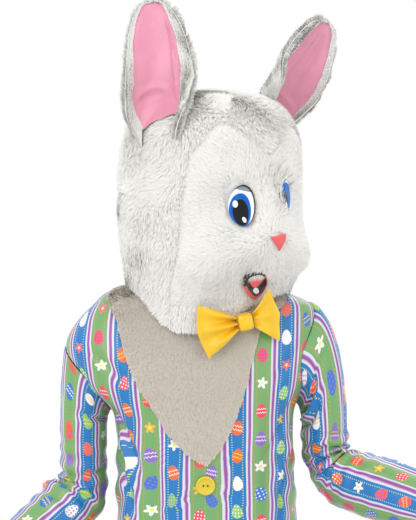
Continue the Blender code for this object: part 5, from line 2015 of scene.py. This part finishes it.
def build_ear_lining(side, surface, mask_tree, finish):
    """The satin inside an ear, with its foot folded forwards over the mask."""
    near, far = ((edge + 1.0) / 2.0 for edge in EARS[side]["satin"])
    width, length = LINING_FLAT_SIZE
    shares = spread(24, 0.012)

    def base_at(share, up):
        row = mix(SATIN_LOW_ROW, EAR_ROWS - 1.0, up) / EAR_ROWS * EAR_FINE_ROWS
        return ear_place(*surface, row, mix(near, far, share) * EAR_FINE_COLUMNS)

    start, end = base_at(0.0, 0.0)[0], base_at(1.0, 0.0)[0]

    def folded(share, up):
        base, normal = base_at(share, 0.0)
        ahead = LINING_FOLD_REACH * (1.0 - up)
        point = base - normal * (LAID_ON_GAP + SATIN_WALL)
        point = point.lerp(start.lerp(end, share), ahead)
        floor = height_on_mask(mask_tree, point, LINING_FOLD_RISE)
        ripple = LINING_RIPPLE * sin(9.0 * share + 5.0 * up)
        middle = sin(pi * share)
        point.z = mix(point.z, floor + ripple * middle, ease(0.0, 0.5, ahead * middle))
        behind = point - Vector((0.0, 0.0, SATIN_WALL))
        return point, behind, (share * width, (up - 1.0) * LINING_FOLD_LENGTH)

    def standing(share, up):
        base, normal = base_at(share, up)
        puff = LINING_PUFF * sin(pi * share) * ease(0.0, 0.2, up)
        rise = LAID_ON_GAP + SATIN_WALL + creases_at(share, up, EAR_CREASES[side])
        rise += puff * ease(1.0, 0.85, up) + 0.0006 * soft_noise(base, 0.012, 5.0)
        behind = base - normal * (rise - SATIN_WALL)
        return base - normal * rise, behind, (share * width, up * length)

    rows = [[folded(share, up) for share in shares] for up in spread(8, 0.03)[:-1]]
    rows += [[standing(share, up) for share in shares] for up in spread(44, 0.008)]
    front, behind, uvs = ([[corner[part] for corner in line] for line in rows] for part in range(3))
    piece = shell(f"ear_lining_{side}", front, behind, uvs, finish)
    hang(piece, "pink_satin", f"ear_{side}_inner")
    return piece


def ear_place(flat, normals, walls, row, column):
    """A point on an ear's inner side between the rows and columns of its grid."""
    r, c = min(int(row), EAR_FINE_ROWS - 1), min(int(column), EAR_FINE_COLUMNS - 1)
    t, s = row - r, column - c

    def between(grid):
        low = grid[r][c] * (1.0 - s) + grid[r][c + 1] * s
        high = grid[r + 1][c] * (1.0 - s) + grid[r + 1][c + 1] * s
        return low * (1.0 - t) + high * t

    normal = between(normals).normalized()
    return between(flat) - normal * between(walls), normal


# Face plates

def build_plate(
    mask_tree, name, node, slot, outline, profile, finish, rings=14, count=72, seat=PLATE_SEAT
):
    """A plate on the face, with its place on it for the print and its share from the middle."""
    outer, inner, uvs = [], [], []
    for ring in range(rings + 1):
        share = ring / rings
        lines = ([], [], [])
        for step in range(count + 1):
            turn = 2.0 * pi * (step % count) / count
            centre, edge = outline(turn)
            angle, level = face_place(
                mix(centre[0], edge[0], share), mix(centre[1], edge[1], share)
            )
            if step < count:
                normal = mask_normal(angle, level)
                base = mask_point(angle, level) + normal * seat
                hit = mask_tree.find_nearest(base)[0]
                lines[1].append(hit + normal * seat)
                lines[0].append(hit + normal * (seat + profile(share)))
            lines[2].append((cos(turn) * share, sin(turn) * share))
        for grid, line in zip((outer, inner, uvs), lines):
            grid.append(line)
    piece = shell(name, outer, inner, uvs, finish, around=True)
    piece.data.uv_layers["Cloth"].name = "Plate"
    add_ring_shares(piece.data, outer)
    hang(piece, slot, node)
    return piece


def add_ring_shares(mesh, outer):
    """A second map on a plate: the share of the way from its middle to its edge."""
    rim = kdtree.KDTree(sum(len(line) for line in outer))
    shares = []
    for ring, line in enumerate(outer):
        for point in line:
            rim.insert(point, len(shares))
            shares.append(ring / (len(outer) - 1))
    rim.balance()
    layer = mesh.uv_layers.new(name="Ring")
    for loop in mesh.loops:
        share = shares[rim.find(mesh.vertices[loop.vertex_index].co)[1]]
        layer.data[loop.index].uv = (share, 0.5)


def build_face_plates(mask_tree, settings):
    pieces = []
    for side in ("right", "left"):
        pieces.append(
            build_plate(
                mask_tree, f"eye_plate_{side}", f"eye_{side}", "eye_plate", eye_outline(side),
                lambda share: PLATE_WALL * (1.15 - 0.5 * share**4), eye_finish(settings, side),
                seat=EYE_SEATS[side],
            )
        )
    pieces.append(
        build_plate(
            mask_tree, "nose_plate", "nose", "coral_plate", nose_outline,
            lambda share: mix(PLATE_EDGE, NOSE_RISE, sqrt(max(1.0 - share**2, 0.0))),
            grained_finish("flock", "coral flock", settings.coral, 0.55, Sheen_Weight=0.3),
        )
    )
    pieces.append(
        build_plate(
            mask_tree, "mouth_plate", "mouth", "coral_plate", mouth_outline,
            lambda share: PLATE_EDGE + LIP_RISE * exp(-(((share - 0.84) / 0.12) ** 2)),
            mouth_finish(settings), rings=24,
        )
    )
    return pieces


# Bow tie

def build_bow_wing(side, finish):
    """A wing that fans out in pleats, with a stitched edge and creases from the knot."""
    frame_of_bow, turn = bow_frame(), turn_of(side)
    rows, columns = spread(30, 0.010), spread(60, 0.006)
    points, uvs = [], []
    for share in rows:
        reach = BOW_WING_START + BOW_WING_LENGTHS[side] * share
        half = mix(BOW_WING_INNER_HALF, BOW_WING_OUTER_HALF, share**0.9)
        line, flat = [], []
        for place in columns:
            up = 2.0 * place - 1.0
            pleat = cos(2.5 * pi * up) * BOW_PLEAT_DEPTH * (1.0 - 0.65 * share)
            puff = BOW_PUFF * sin(pi * min(share * 1.15, 1.0))
            round_end = BOW_ROUND_END * share * (1.0 - abs(up)) * share
            crease = BOW_CREASE * sin(9.0 * up + 2.0 * turn) * (1.0 - share) ** 1.2
            crease += 0.0012 * soft_noise((up * 0.02, share * 0.05, turn), 0.012)
            from_stitch = (1.0 - share) * BOW_WING_LENGTHS[side] - BOW_STITCH_FROM_END
            hem = BOW_STITCH_DEPTH * exp(-(from_stitch / BOW_STITCH_WIDTH) ** 2)
            ahead = -pleat - puff - BOW_WING_FORWARD + crease - hem
            line.append(frame_of_bow @ Vector((turn * (reach + round_end), ahead, half * up)))
            flat.append((share * BOW_WING_LENGTHS[side], half * up))
        points.append(line)
        uvs.append(flat)
    front = frame_of_bow.to_3x3() @ Vector((0.0, -1.0, 0.0))
    normals = normals_of(points, False, lambda r, c: front)
    inner = offset_grid(points, normals, -BOW_SCENE_WALL)
    piece = shell(f"bow_cloth_{side}", points, inner, uvs, finish)
    hang(piece, "yellow_satin", f"bow_wing_{side}")
    return piece


def build_bow_knot(finish):
    """The band round the middle of the bow, with soft gathers."""
    frame_of_bow = bow_frame()
    rings, count = 22, 48
    vertices, polygons = [], []
    for ring in range(rings + 1):
        tilt = pi * (ring / rings - 0.5)
        for step in range(count):
            turn = 2.0 * pi * step / count
            waist = 1.0 - KNOT_WAIST * cos(2.0 * tilt)
            gather = 1.0 + KNOT_GATHER_RISE * sin(KNOT_GATHERS * turn + 1.0) * cos(tilt)
            local = Vector(
                (
                    KNOT_HALF_SIZE[0] * signed_power(cos(tilt), KNOT_POWERS["up"]) * waist
                    * gather * signed_power(cos(turn), KNOT_POWERS["round"]),
                    KNOT_HALF_SIZE[1] * signed_power(cos(tilt), KNOT_POWERS["up"]) * gather
                    * signed_power(sin(turn), KNOT_POWERS["round"]),
                    KNOT_HALF_SIZE[2] * signed_power(sin(tilt), KNOT_POWERS["ends"]),
                )
            )
            vertices.append(tuple(frame_of_bow @ local))
    for ring in range(rings):
        for step in range(count):
            right = (step + 1) % count
            low, high = ring * count, (ring + 1) * count
            polygons.append([low + step, low + right, high + right, high + step])
    corners = [divmod(index, count) for polygon in polygons for index in polygon]
    corner_uvs = [(step * 0.002, ring * 0.0015) for ring, step in corners]
    piece = cloth_piece("bow_band", vertices, polygons, corner_uvs, finish)
    hang(piece, "yellow_satin", "bow_knot")
    return piece


# Button

def build_button(finish, hole_shade_finish):
    """A turned button with a rounded raised rim and a dished face; two dark discs of painted shade
    stand where its two holes are.
    """
    point, normal = body_point(0.0, BUTTON_Z), body_normal(0.0, BUTTON_Z)
    turn = Vector((0.0, 0.0, 1.0)).rotation_difference(normal).to_matrix().to_4x4()
    stand = Matrix.Translation(point + normal * BUTTON_SEAT) @ turn
    count = 72
    outer, inner, uvs = [], [], []
    for radius, height in BUTTON_PROFILE:
        around = [2.0 * pi * step / count for step in range(count)]
        for grid, level in ((outer, height), (inner, min(height, 0.0004))):
            ring = [(radius * cos(a), radius * sin(a), level) for a in around]
            grid.append([stand @ Vector(place) for place in ring])
        uvs.append([(radius, step * 0.001) for step in range(count + 1)])
    piece = shell("button_turned", outer, inner, uvs, finish, around=True)
    hang(piece, "yellow_plastic", "button")
    # Two dark discs on the face stand for the holes: painted shade, not cut openings.
    mesh = bpy.data.meshes.new("button_hole_shade")
    work = bmesh.new()
    for place in (-1.0, 1.0):
        spot = stand @ Matrix.Translation((place * BUTTON_HOLE_OFFSET, 0.0, BUTTON_THICKNESS))
        bmesh.ops.create_cone(
            work, cap_ends=True, segments=24, radius1=BUTTON_HOLE_RADIUS,
            radius2=BUTTON_HOLE_RADIUS, depth=0.0006, matrix=spot,
        )
    work.to_mesh(mesh)
    work.free()
    holes = piece_of("button_hole_shade", mesh, hole_shade_finish)
    hang(holes, "yellow_plastic")
    return piece, holes


# Stage

def build_stage(settings):
    """A pale floor under the hem, soft lights and the camera."""
    corners = ((-1.0, -1.0), (1.0, -1.0), (1.0, 1.0), (-1.0, 1.0))
    floor_z = HEM_Z - FLOOR_GAP
    vertices = [(x * FLOOR_HALF, y * FLOOR_HALF, floor_z) for x, y in corners]
    mesh = bpy.data.meshes.new("studio_floor")
    mesh.from_pydata(vertices, [], [(0, 1, 2, 3)])
    finish = Finish("studio paper", 0.9)
    paper = finish.paint((0.80, 0.80, 0.80), (0.84, 0.84, 0.84), finish.cloud(0.8))
    mesh.materials.append(finish.color(paper))
    add_object("studio_floor", mesh)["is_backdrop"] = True
    for name, place, aim, size, power in LIGHTS:
        lamp = bpy.data.lights.new(name, "AREA")
        lamp.shape = "SQUARE"
        lamp.size = size
        lamp.energy = power * settings.light_power
        light = add_object(name, lamp)
        light.location = place
        way = Vector(aim) - Vector(place)
        light.rotation_euler = way.to_track_quat("-Z", "Y").to_euler()
    world = bpy.context.scene.world or bpy.data.worlds.new("studio")
    bpy.context.scene.world = world
    world.use_nodes = True
    ground = world.node_tree.nodes["Background"]
    ground.inputs["Color"].default_value = (1.0, 1.0, 1.0, 1.0)
    ground.inputs["Strength"].default_value = settings.room_light
    bpy.context.scene.view_settings.view_transform = "Standard"
    camera_data = bpy.data.cameras.new("camera")
    camera_data.sensor_fit = "VERTICAL"
    camera_data.angle = radians(CAMERA_ANGLE)
    camera_data.clip_end = CAMERA_RANGE
    camera = add_object("camera", camera_data)
    rise = radians(CAMERA_RISE)
    target = Vector(CAMERA_TARGET)
    back = Vector((0.0, -cos(rise), sin(rise))) * CAMERA_DISTANCE
    camera.location = target + back
    camera.rotation_euler = (-back).to_track_quat("-Z", "Y").to_euler()
    bpy.context.scene.camera = camera


# What each cut piece measured before sewing: width, length and area, and how it is held.
CUTS = {
    # piece: width, length, area, held, what it hangs from or lies on
    "jacket_front_cloth_right": (0.27, 0.72, 0.137, "hung", ["jacket_back"]),
    "jacket_front_cloth_left": (0.25, 0.72, 0.136, "hung", ["jacket_back"]),
    "jacket_back_cloth": (0.52, 0.74, 0.322, "hung", []),
    "sleeve_cloth_right_upper": (0.34, 0.25, 0.050, "hung", ["jacket_back"]),
    "sleeve_cloth_right_lower": (0.33, 0.28, 0.083, "hung", ["sleeve_right_upper"]),
    "sleeve_cloth_left_upper": (0.36, 0.26, 0.052, "hung", ["jacket_back"]),
    "sleeve_cloth_left_lower": (0.33, 0.28, 0.083, "hung", ["sleeve_left_upper"]),
    "chest_panel_backing": (0.36, 0.34, 0.065, "hung", ["jacket_back"]),
    "mask_face_backing": (0.34, 0.36, 0.075, "stretched", ["mask_hood_upper"]),
    "mask_hood_lower_backing": (0.62, 0.26, 0.127, "hung", ["mask_hood_upper"]),
    "mask_hood_upper_backing": (0.62, 0.36, 0.150, "stretched", []),
    "ear_backing_right": (0.13, 0.26, 0.0212, "stretched", ["mask_hood_upper"]),
    "ear_backing_left": (0.12, 0.26, 0.0196, "stretched", ["mask_hood_upper"]),
    "ear_lining_right": (0.10, 0.22, 0.0162, "stretched", ["ear_right_outer"]),
    "ear_lining_left": (0.10, 0.20, 0.0138, "stretched", ["ear_left_outer"]),
    "bow_cloth_right": (0.070, 0.105, 0.0056, "folded", ["bow_knot"]),
    "bow_cloth_left": (0.045, 0.100, 0.0030, "folded", ["bow_knot"]),
}


def declare_cloth(piece, *on_it):
    """Reads a piece's cut sizes from CUTS and records nothing; the fur pieces given after it are
    not used.
    """
    width, length, area, held, rests_on = CUTS[piece.name]
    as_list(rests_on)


# Settings, tools and panel

def color_setting(name, text, value):
    return FloatVectorProperty(
        name=name, description=text, default=value, size=3, min=0.0, max=1.0, subtype="COLOR"
    )


def length_setting(name, text, value, low, high):
    return FloatProperty(
        name=name, description=text, default=value, min=low, max=high, unit="LENGTH"
    )


def strand_setting(name, text, value):
    return IntProperty(name=name, description=text, default=value, min=1000, max=66000)


class BunnyJacketSettings(bpy.types.PropertyGroup):
    stripe_pitch: length_setting(
        "Stripe pitch", "Distance between the middles of two bands", PITCH_OF_PRINT, 0.02, 0.08
    )
    band_width: length_setting("Band width", "Width of a green or blue band", 0.0305, 0.01, 0.06)
    green: color_setting("Green", "Color of the green bands", (0.155, 0.36, 0.125))
    blue: color_setting("Blue", "Color of the blue bands", (0.004, 0.17, 0.46))
    line_white: color_setting("White", "Color of the white lines", (0.66, 0.65, 0.72))
    purple: color_setting("Purple", "Color of the purple lines", (0.27, 0.075, 0.30))
    orange: color_setting("Orange", "Color of the dotted lines on green", (0.80, 0.20, 0.03))
    button_yellow: color_setting("Button", "Color of the button", (0.72, 0.55, 0.03))


class BunnyMaskSettings(bpy.types.PropertyGroup):
    fur_depth: length_setting(
        "Fur depth", "Depth of the backing under the fur's surface", 0.0050, 0.002, 0.009
    )
    mask_strands: strand_setting("Mask strands", "Fur strands on each piece of the mask", 64000)
    ear_strands: strand_setting("Ear strands", "Fur strands on the outside of each ear", 30000)
    chest_strands: strand_setting("Chest strands", "Strands of the chest panel's pile", 60000)
    white: color_setting("White fur", "Color of the white fur", (0.90, 0.895, 0.865))
    cream: color_setting("Cream fur", "Color of the chest panel's pile", (0.74, 0.68, 0.59))
    pink: color_setting("Ear lining", "Color of the satin in the ears", (0.70, 0.27, 0.38))
    eye_blue: color_setting("Eye blue", "Color of the ring in the eyes", (0.002, 0.125, 0.47))
    coral: color_setting("Coral", "Color of the nose, lip and tongue", (0.78, 0.10, 0.10))


class BunnyBowSettings(bpy.types.PropertyGroup):
    yellow: color_setting("Yellow", "Color of the bow's satin", (0.87, 0.52, 0.01))


class BunnyStageSettings(bpy.types.PropertyGroup):
    light_power: FloatProperty(
        name="Light power", description="Share of the studio lights' full power",
        default=1.0, min=0.0, max=4.0, subtype="FACTOR",
    )
    room_light: FloatProperty(
        name="Room light", description="Strength of the white room round the costume",
        default=1.0, min=0.0, max=3.0,
    )


class BUNNY_OT_jacket(bpy.types.Operator):
    """Makes the two fronts and the back of the jacket in printed satin"""

    bl_idname = "bunny.make_jacket"
    bl_label = "Make Jacket"

    def execute(self, context):
        finish = striped_satin(context.scene.bunny_jacket)
        for side in ("right", "left"):
            declare_cloth(build_front(side, finish))
        declare_cloth(build_back(finish))
        return {"FINISHED"}


class BUNNY_OT_sleeves(bpy.types.Operator):
    """Makes the upper and lower sleeves in printed satin"""

    bl_idname = "bunny.make_sleeves"
    bl_label = "Make Sleeves"

    def execute(self, context):
        finish = bpy.data.materials["striped satin"]
        for side in ("right", "left"):
            for piece in build_sleeve(side, finish):
                declare_cloth(piece)
        return {"FINISHED"}


class BUNNY_OT_chest(bpy.types.Operator):
    """Makes the short-pile panel in the V of the jacket"""

    bl_idname = "bunny.make_chest"
    bl_label = "Make Chest Panel"

    def execute(self, context):
        settings = context.scene.bunny_mask
        fur = fur_finish("cream pile", settings.cream, 0.92)
        backing = grained_finish("backing", "cream backing", settings.cream, 0.9)
        declare_cloth(*build_chest(settings, fur, backing))
        return {"FINISHED"}


class BUNNY_OT_button(bpy.types.Operator):
    """Makes the button with its rim, and two dark discs of painted shade for its holes"""

    bl_idname = "bunny.make_button"
    bl_label = "Make Button"

    def execute(self, context):
        yellow = context.scene.bunny_jacket.button_yellow
        build_button(
            grained_finish("plastic", "yellow plastic", yellow, 0.33),
            # The discs' colour is painted shade: the button's yellow, darkened.
            grained_finish("plastic", "painted hole shade", (0.10, 0.07, 0.01), 0.7),
        )
        return {"FINISHED"}


class BUNNY_OT_mask(bpy.types.Operator):
    """Makes the face, the hood and both ears in fur, with satin in the ears"""

    bl_idname = "bunny.make_mask"
    bl_label = "Make Mask"

    def execute(self, context):
        settings = context.scene.bunny_mask
        fur = fur_finish("white fur", settings.white, 0.94)
        white = tuple(value * 0.98 for value in settings.white)
        backing = grained_finish("backing", "white backing", white, 0.9)
        lining = satin("pink satin", tuple(settings.pink), 0.30, 18.0)
        surface = mask_surface()
        made = build_mask(settings, fur, backing, surface)
        for backing_piece, coat in zip(made[::2], made[1::2]):
            declare_cloth(backing_piece, coat)
        tree = grid_tree(surface[0])
        for side in ("right", "left"):
            skin, coat, edge, lining_piece = build_ear(side, settings, fur, backing, lining, tree)
            declare_cloth(skin, coat, edge)
            declare_cloth(lining_piece)
        return {"FINISHED"}


class BUNNY_OT_face(bpy.types.Operator):
    """Makes the eyes, the nose and the mouth"""

    bl_idname = "bunny.make_face"
    bl_label = "Make Face Plates"

    def execute(self, context):
        tree = grid_tree(coarse_mask())
        build_face_plates(tree, context.scene.bunny_mask)
        return {"FINISHED"}


class BUNNY_OT_bow(bpy.types.Operator):
    """Makes the two wings and the band of the bow tie"""

    bl_idname = "bunny.make_bow"
    bl_label = "Make Bow Tie"

    def execute(self, context):
        finish = satin("yellow satin", tuple(context.scene.bunny_bow.yellow), 0.33, 30.0)
        for side in ("right", "left"):
            declare_cloth(build_bow_wing(side, finish))
        build_bow_knot(finish)
        return {"FINISHED"}


class BUNNY_OT_stage(bpy.types.Operator):
    """Makes the pale floor, the studio lights and the camera"""

    bl_idname = "bunny.make_stage"
    bl_label = "Make Stage"

    def execute(self, context):
        build_stage(context.scene.bunny_stage)
        return {"FINISHED"}


class BUNNY_PT_panel(bpy.types.Panel):
    """Lists the costume's settings and tools"""

    bl_idname = "BUNNY_PT_panel"
    bl_label = "Easter Bunny Costume"
    bl_space_type = "VIEW_3D"
    bl_region_type = "UI"
    bl_category = "Costume"

    def draw(self, context):
        layout = self.layout
        for name, group in SETTINGS.items():
            box = layout.box()
            for setting in group.__annotations__:
                box.prop(getattr(context.scene, name), setting)
        for tool in TOOLS:
            layout.operator(tool.bl_idname)


SETTINGS = {
    "bunny_jacket": BunnyJacketSettings,
    "bunny_mask": BunnyMaskSettings,
    "bunny_bow": BunnyBowSettings,
    "bunny_stage": BunnyStageSettings,
}
TOOLS = (
    BUNNY_OT_jacket,
    BUNNY_OT_sleeves,
    BUNNY_OT_chest,
    BUNNY_OT_button,
    BUNNY_OT_mask,
    BUNNY_OT_face,
    BUNNY_OT_bow,
    BUNNY_OT_stage,
)


def register():
    for made in (*SETTINGS.values(), *TOOLS, BUNNY_PT_panel):
        bpy.utils.register_class(made)
    for name, group in SETTINGS.items():
        setattr(bpy.types.Scene, name, PointerProperty(type=group))


def unregister():
    for name in SETTINGS:
        delattr(bpy.types.Scene, name)
    for made in (BUNNY_PT_panel, *reversed(TOOLS), *SETTINGS.values()):
        bpy.utils.unregister_class(made)


def clear_default_things():
    """Removes the objects that Blender's own start file holds."""
    for name in ("Cube", "Light", "Camera"):
        thing = bpy.data.objects.get(name)
        if thing is not None:
            bpy.data.objects.remove(thing, do_unlink=True)


def main():
    clear_default_things()
    register()
    bpy.ops.bunny.make_jacket()
    bpy.ops.bunny.make_sleeves()
    bpy.ops.bunny.make_chest()
    bpy.ops.bunny.make_button()
    bpy.ops.bunny.make_mask()
    bpy.ops.bunny.make_face()
    bpy.ops.bunny.make_bow()
    bpy.ops.bunny.make_stage()
    boxes = {
        name: [[float(value) for value in corner] for corner in box]
        for name, box in (("cad", CAD_BOX), ("visual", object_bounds()))
    }


if __name__ == "__main__":
    main()
